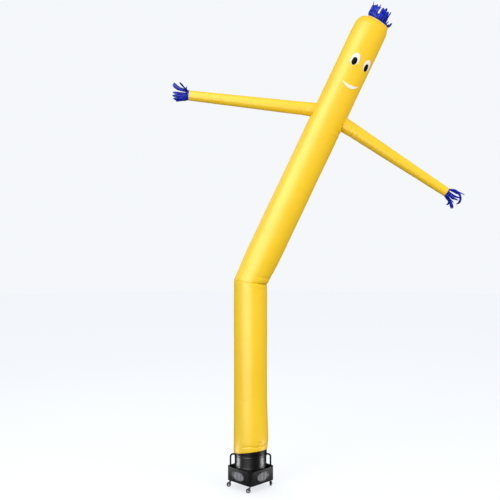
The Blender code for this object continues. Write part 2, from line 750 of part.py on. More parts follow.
def fork_mesh(stand):
    """A stem, a round head, two tapering cheeks and the axle between them, as one solid."""
    top = BASE_BOTTOM - GAP
    head_middle = top - FORK_HEAD / 2
    fork = new_object("fork_proto", cylinder(FORK_HEAD_RADIUS, FORK_HEAD, ROUND_SIDES, head_middle), stand)
    stem_low = top - FORK_HEAD / 2
    stem_high = BASE_BOTTOM + STEM_LENGTH
    stem = cylinder(STEM_RADIUS, stem_high - stem_low, ROUND_SIDES, (stem_low + stem_high) / 2)
    add_boolean(fork, "UNION", new_object("fork_stem", stem, stand))
    inside = WHEEL_WIDTH / 2 + CHEEK_GAP
    for name, side in (("near", -1), ("far", 1)):
        y = side * (inside + CHEEK_THICK / 2)
        add_boolean(fork, "UNION", new_object(f"cheek_{name}", cheek(y, top - FORK_HEAD + 0.004), stand))
    axle = cylinder(AXLE_RADIUS, 2 * inside + CHEEK_THICK, ROUND_SIDES)
    place = Matrix.Translation((TRAIL, 0, WHEEL_RADIUS)) @ Matrix.Rotation(pi / 2, 4, "X")
    add_boolean(fork, "UNION", new_object("fork_axle", axle, stand, matrix=place))
    bpy.context.view_layer.update()
    mesh = finished_mesh(fork)
    mesh.name = "caster_fork"
    return mesh


def cheek(y, top):
    """A flat link from the head to the axle: the hull of a block and a round end."""
    bm = bmesh.new()
    lying = Matrix.Rotation(pi / 2, 4, "X")
    place = Matrix.Translation((TRAIL, y, WHEEL_RADIUS)) @ lying
    bmesh.ops.create_cone(bm, cap_ends=True, segments=ROUND_SIDES, radius1=FORK_FOOT_RADIUS,
                          radius2=FORK_FOOT_RADIUS, depth=CHEEK_THICK, matrix=place)
    block = Matrix.Translation((0.002, y, top - 0.006)) @ Matrix.Diagonal((0.024, CHEEK_THICK, 0.012, 1))
    bmesh.ops.create_cube(bm, size=1, matrix=block)
    bmesh.ops.delete(bm, geom=list(bm.edges), context="EDGES_FACES")
    bmesh.ops.convex_hull(bm, input=bm.verts)
    loose = [vert for vert in bm.verts if not vert.link_faces]
    bmesh.ops.delete(bm, geom=loose, context="VERTS")
    return bm


clear_scene()
PARTS = new_collection("inflatable_air_dancer")
CUTTERS = new_collection("cutters")

YELLOW = new_material("yellow_nylon", (0.96, 0.66, 0.03), 0.45)
BLUE = new_material("blue_nylon", (0.01, 0.04, 0.50), 0.45)
WHITE = new_material("white_nylon", (0.90, 0.90, 0.88), 0.5)
BLACK_CLOTH = new_material("black_nylon", (0.01, 0.01, 0.01), 0.5)
HOUSING = new_material("housing_plastic", (0.035, 0.037, 0.042), 0.5)
BARREL = new_material("barrel_plastic", (0.09, 0.09, 0.10), 0.35)
BLACK_PLASTIC = new_material("black_plastic", (0.015, 0.015, 0.018), 0.45)
GRILLE = new_material("grille_plastic", (0.20, 0.20, 0.21), 0.5)
STEEL_BLACK = new_material("handle_paint", (0.012, 0.012, 0.014), 0.35)
ZINC = new_material("zinc_steel", (0.55, 0.56, 0.58), 0.35, 0.9)
TYRE = new_material("caster_rubber", (0.015, 0.015, 0.016), 0.6)

STAND = new_empty("stand", Matrix.Translation((LEG_X, 0, 0)))
BEND = new_empty("bend", Matrix.Translation((0, 0, KINK_Z)) @ Matrix.Rotation(LEAN, 4, "Y"), STAND)

cut_lengths("leg_sleeve", build_leg(STAND), LEG_LENGTHS)
BODY = build_body(STAND, BEND)
for each_arm in ARMS:
    build_arm(each_arm, BEND, BODY)
cut_lengths("body_sleeve", BODY, BODY_LENGTHS)
NECK_TOP = BODY_LENGTH + VENT_NECK
build_fringe("hair_fringe", BEND, TUBE_SIDES, VENT_RADIUS, NECK_TOP, VENT_SHIFT, VENT_SLANT, HAIR)
build_face(BEND)
build_base(STAND)
build_grilles(STAND)
build_outlet(STAND)
build_clips(STAND)
build_handles(STAND)
build_casters(STAND)
bpy.context.view_layer.update()
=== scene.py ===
# %% [markdown]
# # An inflatable air dancer on its blower
#
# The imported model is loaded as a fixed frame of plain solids. Every cell below dresses some of them: the
# cloth gets its soft swells, seams and creases, the blower its rounded plastic and screws, and all of it a
# material. The box of the plain solids is kept, so that the dressed model can be compared with it at the
# end.

from collections import namedtuple
from math import atan2, cos, degrees, exp, hypot, pi, radians, sin, tan

import bmesh
import bpy
from mathutils import Matrix, Vector, noise


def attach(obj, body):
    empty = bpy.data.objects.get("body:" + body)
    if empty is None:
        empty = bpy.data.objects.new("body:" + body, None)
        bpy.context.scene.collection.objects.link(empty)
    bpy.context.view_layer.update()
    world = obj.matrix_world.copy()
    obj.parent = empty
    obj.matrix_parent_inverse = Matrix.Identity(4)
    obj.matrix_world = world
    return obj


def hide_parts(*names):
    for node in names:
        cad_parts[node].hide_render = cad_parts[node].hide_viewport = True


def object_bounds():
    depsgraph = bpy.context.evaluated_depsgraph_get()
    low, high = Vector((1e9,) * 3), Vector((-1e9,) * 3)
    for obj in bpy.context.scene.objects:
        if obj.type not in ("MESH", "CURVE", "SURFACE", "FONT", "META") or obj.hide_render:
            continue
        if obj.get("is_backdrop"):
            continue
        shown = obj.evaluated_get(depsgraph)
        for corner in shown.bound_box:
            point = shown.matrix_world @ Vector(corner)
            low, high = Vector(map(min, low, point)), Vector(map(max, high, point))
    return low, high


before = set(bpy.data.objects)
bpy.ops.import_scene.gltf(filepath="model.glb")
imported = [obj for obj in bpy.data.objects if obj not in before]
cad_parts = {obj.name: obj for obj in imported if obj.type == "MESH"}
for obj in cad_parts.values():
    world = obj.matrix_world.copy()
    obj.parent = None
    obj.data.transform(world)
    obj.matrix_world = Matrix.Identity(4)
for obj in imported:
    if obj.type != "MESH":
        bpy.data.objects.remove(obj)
solid_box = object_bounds()

# %% [markdown]
# ## Camera
#
# The dancer is over six metres tall, and it is seen from well back at half its height, with the camera
# level. A level camera keeps the upright tube upright in the picture. The lens follows from the distance
# and from how much has to fit in the square picture.

# %% Camera
CAMERA_AWAY = 9.5
CAMERA_UP = 3.213
CAMERA_ASIDE = -0.905
SEEN_HEIGHT = 6.8
SENSOR = 36

bpy.ops.object.camera_add(location=(CAMERA_ASIDE, -CAMERA_AWAY, CAMERA_UP), rotation=(pi / 2, 0, 0))
camera = bpy.context.object
camera.data.sensor_width = SENSOR
camera.data.lens = SENSOR * CAMERA_AWAY / SEEN_HEIGHT
bpy.context.scene.camera = camera
print("lens:", round(camera.data.lens, 1), "mm")

# %% [markdown]
# ## Tools for materials
#
# Each finish is a small network of nodes. A few short functions add nodes and join them, so that every
# finish below reads as a list of what the real surface has: its colour, its gloss and its fine relief.


# %% Tools for materials
def set_values(node, values):
    """Sets a node's inputs, whose names have a capital letter, and its other settings."""
    for name, value in values.items():
        if name[0].isupper():
            node.inputs[name.replace("_", " ")].default_value = value
        else:
            setattr(node, name, value)
    return node


def start_material(name, **values):
    material = bpy.data.materials.new(name)
    material.use_nodes = True
    tree = material.node_tree
    return material, tree, set_values(tree.nodes["Principled BSDF"], values)


def add_node(tree, kind, **values):
    return set_values(tree.nodes.new(kind), values)


def add_noise(tree, coordinates, scale, detail=3.0, stretch=(1, 1, 1)):
    """A noise pattern, with its coordinates stretched first."""
    mapping = add_node(tree, "ShaderNodeMapping", Scale=stretch)
    texture = add_node(tree, "ShaderNodeTexNoise", Scale=scale, Detail=detail)
    tree.links.new(coordinates, mapping.inputs["Vector"])
    tree.links.new(mapping.outputs["Vector"], texture.inputs["Vector"])
    return texture.outputs["Fac"]


def spread_values(tree, value, low, high, start=0.0, end=1.0):
    """The value moved from the range start to end into the range low to high."""
    node = add_node(tree, "ShaderNodeMapRange", From_Min=start, From_Max=end, To_Min=low, To_Max=high)
    tree.links.new(value, node.inputs["Value"])
    return node.outputs["Result"]


def blend_colors(tree, share, low, high):
    node = add_node(tree, "ShaderNodeMix", data_type="RGBA")
    tree.links.new(share, node.inputs[0])
    for socket, color in ((node.inputs[6], low), (node.inputs[7], high)):
        if isinstance(color, bpy.types.NodeSocket):
            tree.links.new(color, socket)
        else:
            socket.default_value = (*color, 1)
    return node.outputs[2]


def add_bump(tree, shader, height, strength, distance, under=None):
    bump = add_node(tree, "ShaderNodeBump", Strength=strength, Distance=distance)
    tree.links.new(height, bump.inputs["Height"])
    if under is not None:
        tree.links.new(under, bump.inputs["Normal"])
    tree.links.new(bump.outputs["Normal"], shader.inputs["Normal"])
    return bump.outputs["Normal"]


# %% [markdown]
# ## Studio
#
# A pale floor and a nearly white surround give the soft, even light of a studio, brighter from above. The
# floor glows a little, so that it looks as white as the surround and still shows soft shadows, and it
# lights nothing. A tall key lamp on the left in front and a warm fill lamp on the right light the matt
# cloth. They and the surround are kept out of the gloss, because a white studio mirrored in waxed nylon
# would wash out its strong yellow. Instead, two sheen lamps that only gloss can see make the long pale
# sheen down each tube, and two low strips make the sheens down the blower's barrel. A top lamp and a rim
# lamp pick out the head and the edges.

# %% Studio
FLOOR_RADIUS = 45
STUDIO_WHITE = (0.95, 0.97, 1.0, 1)
LIGHT_FROM_BELOW, LIGHT_FROM_ABOVE = 0.34, 0.98
SEEN_STRENGTH = 0.96

bpy.ops.mesh.primitive_circle_add(vertices=96, radius=FLOOR_RADIUS, fill_type="NGON")
floor = bpy.context.object
floor.name = "studio_floor"
floor_material, *_ = start_material("pale_floor", Base_Color=(0.26, 0.27, 0.28, 1), Roughness=0.8,
                                    Emission_Color=STUDIO_WHITE, Emission_Strength=0.72)
floor.data.materials.append(floor_material)
floor.visible_glossy = False
floor.visible_diffuse = False
floor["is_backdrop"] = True

world = bpy.data.worlds.new("surround")
world.use_nodes = True
tree = world.node_tree
ray = add_node(tree, "ShaderNodeLightPath")
upward = add_node(tree, "ShaderNodeSeparateXYZ")
tree.links.new(add_node(tree, "ShaderNodeTexCoord").outputs["Generated"], upward.inputs["Vector"])
light = spread_values(tree, upward.outputs["Z"], LIGHT_FROM_BELOW, LIGHT_FROM_ABOVE, -0.5, 0.5)
for kind, number in (("Is Glossy Ray", 0.0), ("Is Camera Ray", SEEN_STRENGTH)):
    choice = add_node(tree, "ShaderNodeMix", B=number)
    tree.links.new(ray.outputs[kind], choice.inputs["Factor"])
    tree.links.new(light, choice.inputs["A"])
    light = choice.outputs["Result"]
surround = set_values(tree.nodes["Background"], {"Color": STUDIO_WHITE})
tree.links.new(light, surround.inputs["Strength"])
bpy.context.scene.world = world
world.cycles_visibility.glossy = False
world.cycles.sampling_method = "NONE"
bpy.context.scene.view_settings.view_transform = "Standard"


def add_lamp(name, place, aim, size, power, glossy=True, matt=True, color=(1, 1, 1)):
    """A flat lamp that faces its aim; glossy and matt say which reflections it is seen in."""
    bpy.ops.object.light_add(type="AREA", location=place)
    lamp = bpy.context.object
    lamp.name = name
    lamp.rotation_euler = (Vector(aim) - Vector(place)).to_track_quat("-Z", "Y").to_euler()
    lamp.data.shape = "RECTANGLE"
    lamp.data.size, lamp.data.size_y = size
    lamp.data.energy = power
    lamp.data.color = color
    lamp.visible_glossy = glossy
    lamp.visible_diffuse = matt
    lamp.visible_camera = False


add_lamp("key", (-5.6, -6.2, 3.2), (-0.4, 0, 3.0), (3.4, 7.2), 210, glossy=False)
add_lamp("top", (-2.4, -3.2, 9.6), (0.2, 0, 5.0), (5.0, 4.0), 110)
add_lamp("low_sheen", (-4.1, -7.2, 1.7), (-0.9, 0, 1.7), (7.4, 5.0), 410, matt=False)
add_lamp("high_sheen", (-5.2, -4.6, 7.8), (0.6, 0, 4.8), (8.6, 6.0), 660, matt=False)
add_lamp("fill", (7.5, -6.0, 4.0), (0, 0, 3.4), (4.0, 7.0), 410, glossy=False, color=(1.0, 0.88, 0.76))
add_lamp("rim", (-5.0, 6.0, 6.5), (0, 0, 3.5), (3.0, 5.0), 60)
for side, place in (("left", (-1.95, 0.0, 0.14)), ("right", (0.15, -0.1, 0.14))):
    add_lamp(f"strip_{side}", place, (-0.9, 0, 0.30), (0.42, 0.27), 3.4, matt=False)
print("lamps:", [thing.name for thing in bpy.data.objects if thing.type == "LIGHT"])

# %% [markdown]
# ## Nylon
#
# An air dancer is cut from ripstop nylon: a thin cloth with a smooth, waxy gloss and a grid of thicker
# threads. The grid follows the cloth, so it is drawn on the UV map, which every cut panel below carries in
# metres. The colour shifts a little over the length where the cloth is stretched more or has faded, and
# fine creases left from packing show in its relief.

# %% Nylon
GRID_PITCH = 0.006
THREAD_SHARE = 0.07
THREAD_RELIEF = 0.0002
CREASE_RELIEF = 0.006


def make_nylon(name, color, faded, roughness, shine, patches=1.4):
    """Ripstop cloth in two shades; patches is how many times a metre they take turns."""
    material, tree, shader = start_material(name, Specular_IOR_Level=shine)
    place = add_node(tree, "ShaderNodeTexCoord")
    flat, solid = place.outputs["UV"], place.outputs["Object"]
    wide = add_noise(tree, solid, patches, 2.0)
    tint = blend_colors(tree, spread_values(tree, wide, 0, 1, 0.35, 0.7), color, faded)
    threads = add_node(tree, "ShaderNodeTexBrick", offset=0.0, Scale=1.0, Brick_Width=GRID_PITCH,
                       Row_Height=GRID_PITCH, Mortar_Size=GRID_PITCH * THREAD_SHARE, Mortar_Smooth=0.6)
    tree.links.new(flat, threads.inputs["Vector"])
    lines = threads.outputs["Fac"]
    deeper = tuple(channel * 0.86 for channel in color)
    grid = blend_colors(tree, spread_values(tree, lines, 0, 0.5), tint, deeper)
    tree.links.new(grid, shader.inputs["Base Color"])
    gloss = add_noise(tree, flat, 9.0, 4.0, (1.0, 0.35, 1))
    tree.links.new(spread_values(tree, gloss, roughness - 0.05, roughness + 0.09), shader.inputs["Roughness"])
    packing = add_noise(tree, flat, 5.0, 5.0, (1.0, 0.5, 1))
    creased = add_bump(tree, shader, packing, 0.2, CREASE_RELIEF)
    add_bump(tree, shader, lines, 0.3, THREAD_RELIEF, creased)
    return material


YELLOW = make_nylon("yellow_ripstop", (0.950, 0.600, 0.002), (0.955, 0.640, 0.004), 0.42, 0.75)
BLUE = make_nylon("blue_ripstop", (0.001, 0.005, 0.19), (0.004, 0.030, 0.66), 0.24, 0.30, 22.0)
WHITE = make_nylon("white_nylon_patch", (0.86, 0.86, 0.84), (0.92, 0.92, 0.90), 0.45, 0.4)
BLACK = make_nylon("black_nylon_patch", (0.004, 0.004, 0.005), (0.010, 0.010, 0.012), 0.36, 0.15)
print("nylons:", [nylon.name for nylon in (YELLOW, BLUE, WHITE, BLACK)])

# %% [markdown]
# ## The shape of an inflated tube
#
# The air holds each tube nearly round. A tube is described along its own axis by a few sections, which say
# how wide it is there and how far apart its rows are, and by its folds, which are troughs at an angle and a
# height, with a spread in degrees and a reach in metres. Between the sections the width follows a smooth
# curve without overshoot. A slant tilts the rows more and more from one height to another. At the bend, the
# lower and the upper tube end in the same slanting plane, so that their cloth meets all round in one seam.

# %% The shape of an inflated tube
Section = namedtuple("Section", "height across through shift step")
Fold = namedtuple("Fold", "angle height spread reach depth crease")
Slant = namedtuple("Slant", "none full right back")
Tube = namedtuple("Tube", "frame sections folds slants swell seams")


def smooth_slopes(heights, values):
    """The slope at each height of a curve through the values that never overshoots them."""
    steps = [(values[i + 1] - values[i]) / (heights[i + 1] - heights[i]) for i in range(len(heights) - 1)]
    middle = [2 * a * b / (a + b) if a * b > 0 else 0.0 for a, b in zip(steps, steps[1:])]
    return [steps[0], *middle, steps[-1]]


def curve_at(heights, values, height):
    """The smooth curve through the values, at a height."""
    slopes = smooth_slopes(heights, values)
    low = max(i for i in range(len(heights) - 1) if height >= heights[i] - 1e-9 or i == 0)
    span = heights[low + 1] - heights[low]
    t = min(max((height - heights[low]) / span, 0.0), 1.0)
    return ((2 * t ** 3 - 3 * t ** 2 + 1) * values[low] + (t ** 3 - 2 * t ** 2 + t) * span * slopes[low]
            + (3 * t ** 2 - 2 * t ** 3) * values[low + 1] + (t ** 3 - t ** 2) * span * slopes[low + 1])


def width_at(sections, height):
    """The radius across, the radius through and the sideways shift at a height."""
    heights = [section.height for section in sections]
    fields = ("across", "through", "shift")
    return [curve_at(heights, [getattr(section, field) for section in sections], height) for field in fields]


def fold_depth(folds, angle, height):
    """How deep the folds together press the cloth in at an angle and a height."""
    depth = 0.0
    for fold in folds:
        turn = (angle - fold.angle + 180) % 360 - 180
        along = abs((height - fold.height) / fold.reach) ** fold.crease
        depth += fold.depth * exp(-(turn / fold.spread) ** 2 - along)
    return depth


def slant_rise(slants, height, x, y):
    """How far the slants lift or lower a point beside the tube's axis."""
    rise = 0.0
    for slant in slants:
        share = (height - slant.none) / (slant.full - slant.none)
        rise += min(max(share, 0.0), 1.0) * (slant.right * x + slant.back * y)
    return rise


def moved(by):
    return Matrix.Translation(by)


def tube_point(tube, angle, height, out=0.0):
    """A point of the cloth's outer side, by its angle round the tube and its height along it."""
    across, through, shift = width_at(tube.sections, height)
    turn = radians(angle)
    outward = tube.swell(angle, height) - fold_depth(tube.folds, angle, height) + out
    kept = 1 + outward / through
    x, y = across * kept * cos(turn), through * kept * sin(turn)
    return tube.frame @ Vector((x + shift, y, height + slant_rise(tube.slants, height, x, y)))


# %% [markdown]
# ## Swells, seams and gathers
#
# No inflated tube is quite true. The cloth swells and sinks by a few millimetres. It is drawn in along its
# seams, one up the back and one across the tube wherever two lengths of cloth are joined, and it puckers
# where it is gathered: at the elastic hem, round the vent and round each armhole. These small shapes are
# worked out from the place on the tube, so they are the same in every run and they match on both sides of a
# seam.

# %% Swells, seams and gathers
BACK_SEAM = 90
SEAM_HALF_WIDTH = 0.0035
SEAM_PULL = 0.016
SEAM_REACH = 0.05
PUCKERS_ALONG = 150
PUCKERS_AROUND = 34


def unevenness(angle, along, radius):
    """Wide soft swells, and narrower ones that run along the tube."""
    turn = radians(angle)
    spot = Vector((radius * cos(turn), radius * sin(turn), along))
    long_spot = Vector((spot.x * 9, spot.y * 9, spot.z * 1.1))
    return 0.0030 * noise.noise(spot * 2.3) + 0.0011 * noise.noise(long_spot)


def seam_relief(distance, phase):
    """A felled seam: a low ridge in a shallow pull, with small puckers beside it."""
    if abs(distance) > SEAM_REACH:
        return 0.0
    ripple = 0.0006 * sin(phase)
    ridge = 0.0009 * exp(-(distance / SEAM_HALF_WIDTH) ** 4)
    return ridge - (0.0013 - ripple) * exp(-(distance / SEAM_PULL) ** 2)


def sewn_shape(cross_seams, angle, height, radius):
    """How far the cloth stands out or in, from its uneven swell and its seams."""
    aside = radians((angle - BACK_SEAM + 180) % 360 - 180) * radius
    shape = unevenness(angle, height, radius) + seam_relief(aside, PUCKERS_ALONG * height)
    return shape + sum(seam_relief(height - seam, PUCKERS_AROUND * radians(angle)) for seam in cross_seams)


def gathers(angle, distance, reach, count, height):
    """Small folds that run away from a gathered edge and fade out with the distance from it."""
    if distance > 4 * reach:
        return 0.0
    turn = radians(angle)
    wave = 0.5 + 0.5 * sin(count * turn + 1.3 * sin(3 * turn) + 0.8 * sin(7 * turn))
    return height * wave * exp(-(distance / reach) ** 2)


# %% [markdown]
# ## From flat cloth to a tube
#
# A sheet is cut as a flat grid, with a UV map in metres, and rolled up round the tube's shape. Rows lie
# closer where there is more to show, and columns lie closer at the seams. The two edges that meet are then
# merged. Cloth simulation isn't needed here: air holds the tube, and its few creases are known, so they are
# placed.


# %% From flat cloth to a tube
def select_only(thing):
    bpy.ops.object.select_all(action="DESELECT")
    thing.select_set(True)
    bpy.context.view_layer.objects.active = thing


def edit_all(thing):
    select_only(thing)
    bpy.ops.object.mode_set(mode="EDIT")
    bpy.ops.mesh.select_all(action="SELECT")


def leave_edit():
    bpy.ops.object.mode_set(mode="OBJECT")


def rename(thing, name):
    thing.name = thing.data.name = name


def merge_doubles(thing, distance):
    edit_all(thing)
    bpy.ops.mesh.remove_doubles(threshold=distance)
    leave_edit()


def cover(thing, material):
    thing.data.materials.clear()
    thing.data.materials.append(material)


def modify(thing, kind, **values):
    """Adds a modifier with its settings, and applies it."""
    modifier = thing.modifiers.new(kind.lower(), kind)
    for name, value in values.items():
        setattr(modifier, name, value)
    select_only(thing)
    bpy.ops.object.modifier_apply(modifier=modifier.name)


CLOTH = 0.0012
SEAM_STEPS = (0.0, 0.002, 0.0035, 0.006, 0.011, 0.019, 0.032)


def row_heights(sections, seams):
    """The heights of a tube's rows, closer together beside each seam that crosses it."""
    heights = []
    for low, high in zip(sections, sections[1:]):
        count = max(1, round((high.height - low.height) / low.step))
        heights += [low.height + (high.height - low.height) * row / count for row in range(count)]
    heights.append(sections[-1].height)
    for seam in seams:
        heights = [height for height in heights if abs(height - seam) > 1.2 * SEAM_STEPS[-1]]
        heights += [seam + side * step for step in SEAM_STEPS for side in (-1, 1) if step or side > 0]
    return sorted(heights)


def seam_columns():
    """Angles once round a tube from its back seam, closer together beside the seam."""
    close = [0.0, 0.5, 1.0, 1.7, 2.7, 4.4]
    first, count = 7, 114
    plain = [first + (360 - 2 * first) * step / count for step in range(count + 1)]
    return [BACK_SEAM + angle for angle in close + plain + [360 - angle for angle in reversed(close)]]


def even_columns(count, start):
    """Angles once round a tube, all the same step apart."""
    return [start + 360 * step / count for step in range(count + 1)]


def cut_grid(name, columns, rows):
    """A flat grid of cloth whose vertices count from nought across and up."""
    bpy.ops.mesh.primitive_grid_add(x_subdivisions=columns, y_subdivisions=rows, size=1)
    sheet = bpy.context.object
    rename(sheet, name)
    for vertex in sheet.data.vertices:
        vertex.co = (round((vertex.co.x + 0.5) * columns), round((vertex.co.y + 0.5) * rows), 0)
    return sheet


def lay_cloth(sheet, place, flat_place):
    """Moves each vertex to its place, and writes where it was on the flat cloth to the UV map."""
    counts = [(round(vertex.co.x), round(vertex.co.y)) for vertex in sheet.data.vertices]
    layer = sheet.data.uv_layers.active or sheet.data.uv_layers.new()
    for loop in sheet.data.loops:
        layer.data[loop.index].uv = flat_place(*counts[loop.vertex_index])
    for vertex, (column, row) in zip(sheet.data.vertices, counts):
        vertex.co = place(column, row)


def roll_tube(name, tube, angles, material):
    """Cuts a sheet, rolls it up round the tube, joins its edges and gives it the cloth's thickness."""
    heights = row_heights(tube.sections, tube.seams)
    sheet = cut_grid(name, len(angles) - 1, len(heights) - 1)
    around = tube.sections[0].through
    lay_cloth(
        sheet,
        lambda column, row: tube_point(tube, angles[column], heights[row]),
        lambda column, row: (radians(angles[column] - angles[0]) * around, heights[row]),
    )
    merge_doubles(sheet, 0.00005)
    modify(sheet, "SOLIDIFY", thickness=CLOTH, offset=-1, use_even_offset=True)
    cover(sheet, material)
    sheet.data.shade_smooth()
    print(name, "rows:", len(heights) - 1, "columns:", len(angles) - 1, "faces:", len(sheet.data.polygons))
    return sheet


def finish(piece, slot, *nodes, body="dancer_on_blower"):
    """The piece rides on a body and stands for these solids, which it hides; the slot is not used."""
    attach(piece, body)
    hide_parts(*nodes)
    return piece


# %% [markdown]
# ## The lower tube
#
# The lower tube stands straight up from the blower. Its elastic hem grips the collar, higher on the right
# than on the left. Above the hem the air fills the cloth out at once, over a few sharp creases in front and
# on the right. At the top the tube bends, and the spare cloth on the inside of the bend sinks into a sharp
# crease.

# %% The lower tube
LEG_X = -0.898
LEG_SEAMS = (1.20, 2.00)
HEM_Z = 0.485
KINK_Z = 2.778
LEG_RADIUS = 0.2250
LEAN = radians(25.4)
SEAM_FALL = radians(8.0)
ROUND = 2
SHARP = 1.15
ALL_ROUND = 1000
HEM_BAND = 0.034

leg_sections = (
    Section(HEM_Z, 0.2252, 0.2252, 0, 0.005),
    Section(0.545, 0.2300, 0.2300, 0.001, 0.005),
    Section(0.630, 0.2350, 0.2350, 0.006, 0.008),
    Section(0.700, 0.2340, 0.2345, 0.006, 0.025),
    Section(1.250, LEG_RADIUS, LEG_RADIUS, 0, 0.028),
    Section(2.520, LEG_RADIUS, LEG_RADIUS, 0, 0.010),
    Section(2.700, LEG_RADIUS, LEG_RADIUS, 0, 0.006),
    Section(KINK_Z, LEG_RADIUS, LEG_RADIUS, 0, 0.006),
)
kink_folds = (
    Fold(-34, 0, 30, 0.008, 0.023, SHARP),
    Fold(0, 0, ALL_ROUND, 0.008, 0.0025, SHARP),
)
leg_folds = (
    Fold(-68, 0.548, 15, 0.006, 0.010, SHARP),
    Fold(-45, 0.556, 15, 0.006, 0.014, SHARP),
    Fold(-20, 0.567, 15, 0.006, 0.013, SHARP),
    Fold(-62, 0.615, 12, 0.005, 0.010, SHARP),
    Fold(-100, 0.566, 22, 0.010, 0.004, ROUND),
    Fold(150, 0.610, 35, 0.018, 0.006, ROUND),
    Fold(78, 0.590, 26, 0.013, 0.006, ROUND),
    Fold(-34, 2.700, 30, 0.016, 0.004, ROUND),
    Fold(-62, 2.650, 22, 0.018, 0.003, ROUND),
    *(fold._replace(height=KINK_Z) for fold in kink_folds),
)
leg_slants = (
    Slant(0.90, HEM_Z, 0.125, -0.156),
    Slant(2.40, KINK_Z, -tan(SEAM_FALL), 0.0),
)


def leg_swell(angle, height):
    above = height - HEM_Z
    swell = sewn_shape(LEG_SEAMS, angle, height, LEG_RADIUS) * min(max((above - 0.05) / 0.1, 0), 1)
    swell += 0.0016 * exp(-((above - HEM_BAND / 2) / 0.013) ** 4)
    return swell + gathers(angle, abs(above - HEM_BAND - 0.012), 0.035, 46, 0.0030)


stand_frame = moved((LEG_X, 0, 0))
leg = Tube(stand_frame, leg_sections, leg_folds, leg_slants, leg_swell, LEG_SEAMS)
lower_tube = roll_tube("lower_tube", leg, seam_columns(), YELLOW)
finish(lower_tube, "yellow_nylon", "leg_sleeve_low", "leg_sleeve_middle", "leg_sleeve_high")

# %% [markdown]
# ## The arms' places
#
# An arm is sewn into a round hole in the upper tube, on its own slanting axis. The upper tube puckers round
# both holes, so the arms are described before it is rolled up.

# %% The arms' places
Arm = namedtuple("Arm", "name body_height rise length root cuff folds")
ARM_START = 0.10
ARMS = (
    Arm("left", 2.564, -83.5, 1.949, 0.0940, 0.0696, (
        Fold(-150, 0.42, 50, 0.018, 0.006, ROUND),
        Fold(-95, 0.345, 40, 0.012, 0.004, ROUND),
        Fold(-60, 0.95, 55, 0.020, 0.004, ROUND),
        Fold(-120, 1.62, 50, 0.020, 0.004, ROUND),
        Fold(60, 1.25, 60, 0.022, 0.003, ROUND),
    )),
    Arm("right", 2.510, 123.4, 1.899, 0.1010, 0.0640, (
        Fold(-30, 0.40, 45, 0.018, 0.008, ROUND),
        Fold(-50, 0.47, 40, 0.016, 0.005, ROUND),
        Fold(-85, 0.355, 30, 0.012, 0.005, ROUND),
        Fold(-110, 1.10, 55, 0.020, 0.004, ROUND),
        Fold(40, 1.45, 60, 0.022, 0.003, ROUND),
    )),
)
bend_frame = stand_frame @ moved((0, 0, KINK_Z)) @ Matrix.Rotation(LEAN, 4, "Y")


def arm_in_body(arm):
    """The arm's axis, measured in the upper tube's own frame."""
    turn = Matrix.Rotation(radians(arm.rise) - LEAN, 4, "Y")
    return moved((0, 0, arm.body_height)) @ turn


ARM_FRAMES = {arm.name: arm_in_body(arm) for arm in ARMS}
print("arm axes:", [name for name in ARM_FRAMES])

# %% [markdown]
# ## The upper tube
#
# The upper tube leans to the right from the bend, widens a little and ends in a rounded head. The head's
# round vent lets the air out: it lies a little to the right and slants, and the cloth is gathered round it.

# %% The upper tube
BODY_LENGTHS = ("low", "waist", "middle", "chest", "head")
BODY_SEAMS = (0.68, 1.37, 2.10, 2.86)
BODY_LENGTH = 3.921
BODY_RADIUS = 0.2332
KINK_ACROSS = LEG_RADIUS * cos(LEAN - SEAM_FALL) / cos(SEAM_FALL)
VENT_RADIUS = 0.1600
VENT_SHIFT = 0.050
VENT_NECK = 0.012
NECK_TOP = BODY_LENGTH + VENT_NECK

body_sections = (
    Section(0, KINK_ACROSS, LEG_RADIUS, 0, 0.006),
    Section(0.070, 0.2196, 0.2262, 0, 0.010),
    Section(0.240, 0.2272, 0.2297, 0, 0.025),
    Section(0.400, BODY_RADIUS, BODY_RADIUS, 0, 0.028),
    Section(2.050, BODY_RADIUS, BODY_RADIUS, 0, 0.0135),
    Section(2.860, BODY_RADIUS, BODY_RADIUS, 0, 0.025),
    Section(3.660, BODY_RADIUS, BODY_RADIUS, 0, 0.012),
    Section(3.806, 0.2280, 0.2290, 0.004, 0.008),
    Section(3.864, 0.2130, 0.2160, 0.011, 0.007),
    Section(3.902, 0.1890, 0.1930, 0.024, 0.005),
    Section(BODY_LENGTH, VENT_RADIUS, VENT_RADIUS, VENT_SHIFT, 0.006),
    Section(NECK_TOP, VENT_RADIUS, VENT_RADIUS, VENT_SHIFT, 0.006),
)
body_folds = (
    kink_folds[0]._replace(reach=0.017),
    kink_folds[1],
    Fold(-40, 0.100, 40, 0.022, 0.008, ROUND),
    Fold(26, 0.066, 20, 0.012, 0.005, ROUND),
    Fold(8, 0.150, 24, 0.020, 0.004, ROUND),
    Fold(-22, 2.320, 24, 0.018, 0.010, ROUND),
    Fold(-30, 2.245, 20, 0.016, 0.008, ROUND),
    Fold(170, 2.400, 24, 0.018, 0.005, ROUND),
    Fold(20, 2.225, 22, 0.016, 0.006, ROUND),
)
VENT_SLANT = Slant(3.74, BODY_LENGTH, -0.14, 0.18)
body_slants = (
    Slant(0.45, 0.0, tan(LEAN - SEAM_FALL), 0.0),
    VENT_SLANT,
)


LOWEST_PUCKER, HIGHEST_PUCKER = 2.0, 2.95


def armhole_puckers(angle, height):
    """Short folds that run out from both armholes."""
    if not LOWEST_PUCKER < height < HIGHEST_PUCKER:
        return 0.0
    turn = radians(angle)
    spot = Vector((BODY_RADIUS * cos(turn), BODY_RADIUS * sin(turn), height))
    swell = 0.0
    for arm in ARMS:
        seen = ARM_FRAMES[arm.name].inverted() @ spot
        if seen.z > 0:
            distance = abs(hypot(seen.x, seen.y) - arm.root)
            swell -= gathers(degrees(atan2(seen.y, seen.x)), distance, 0.035, 15, 0.0042)
    return swell


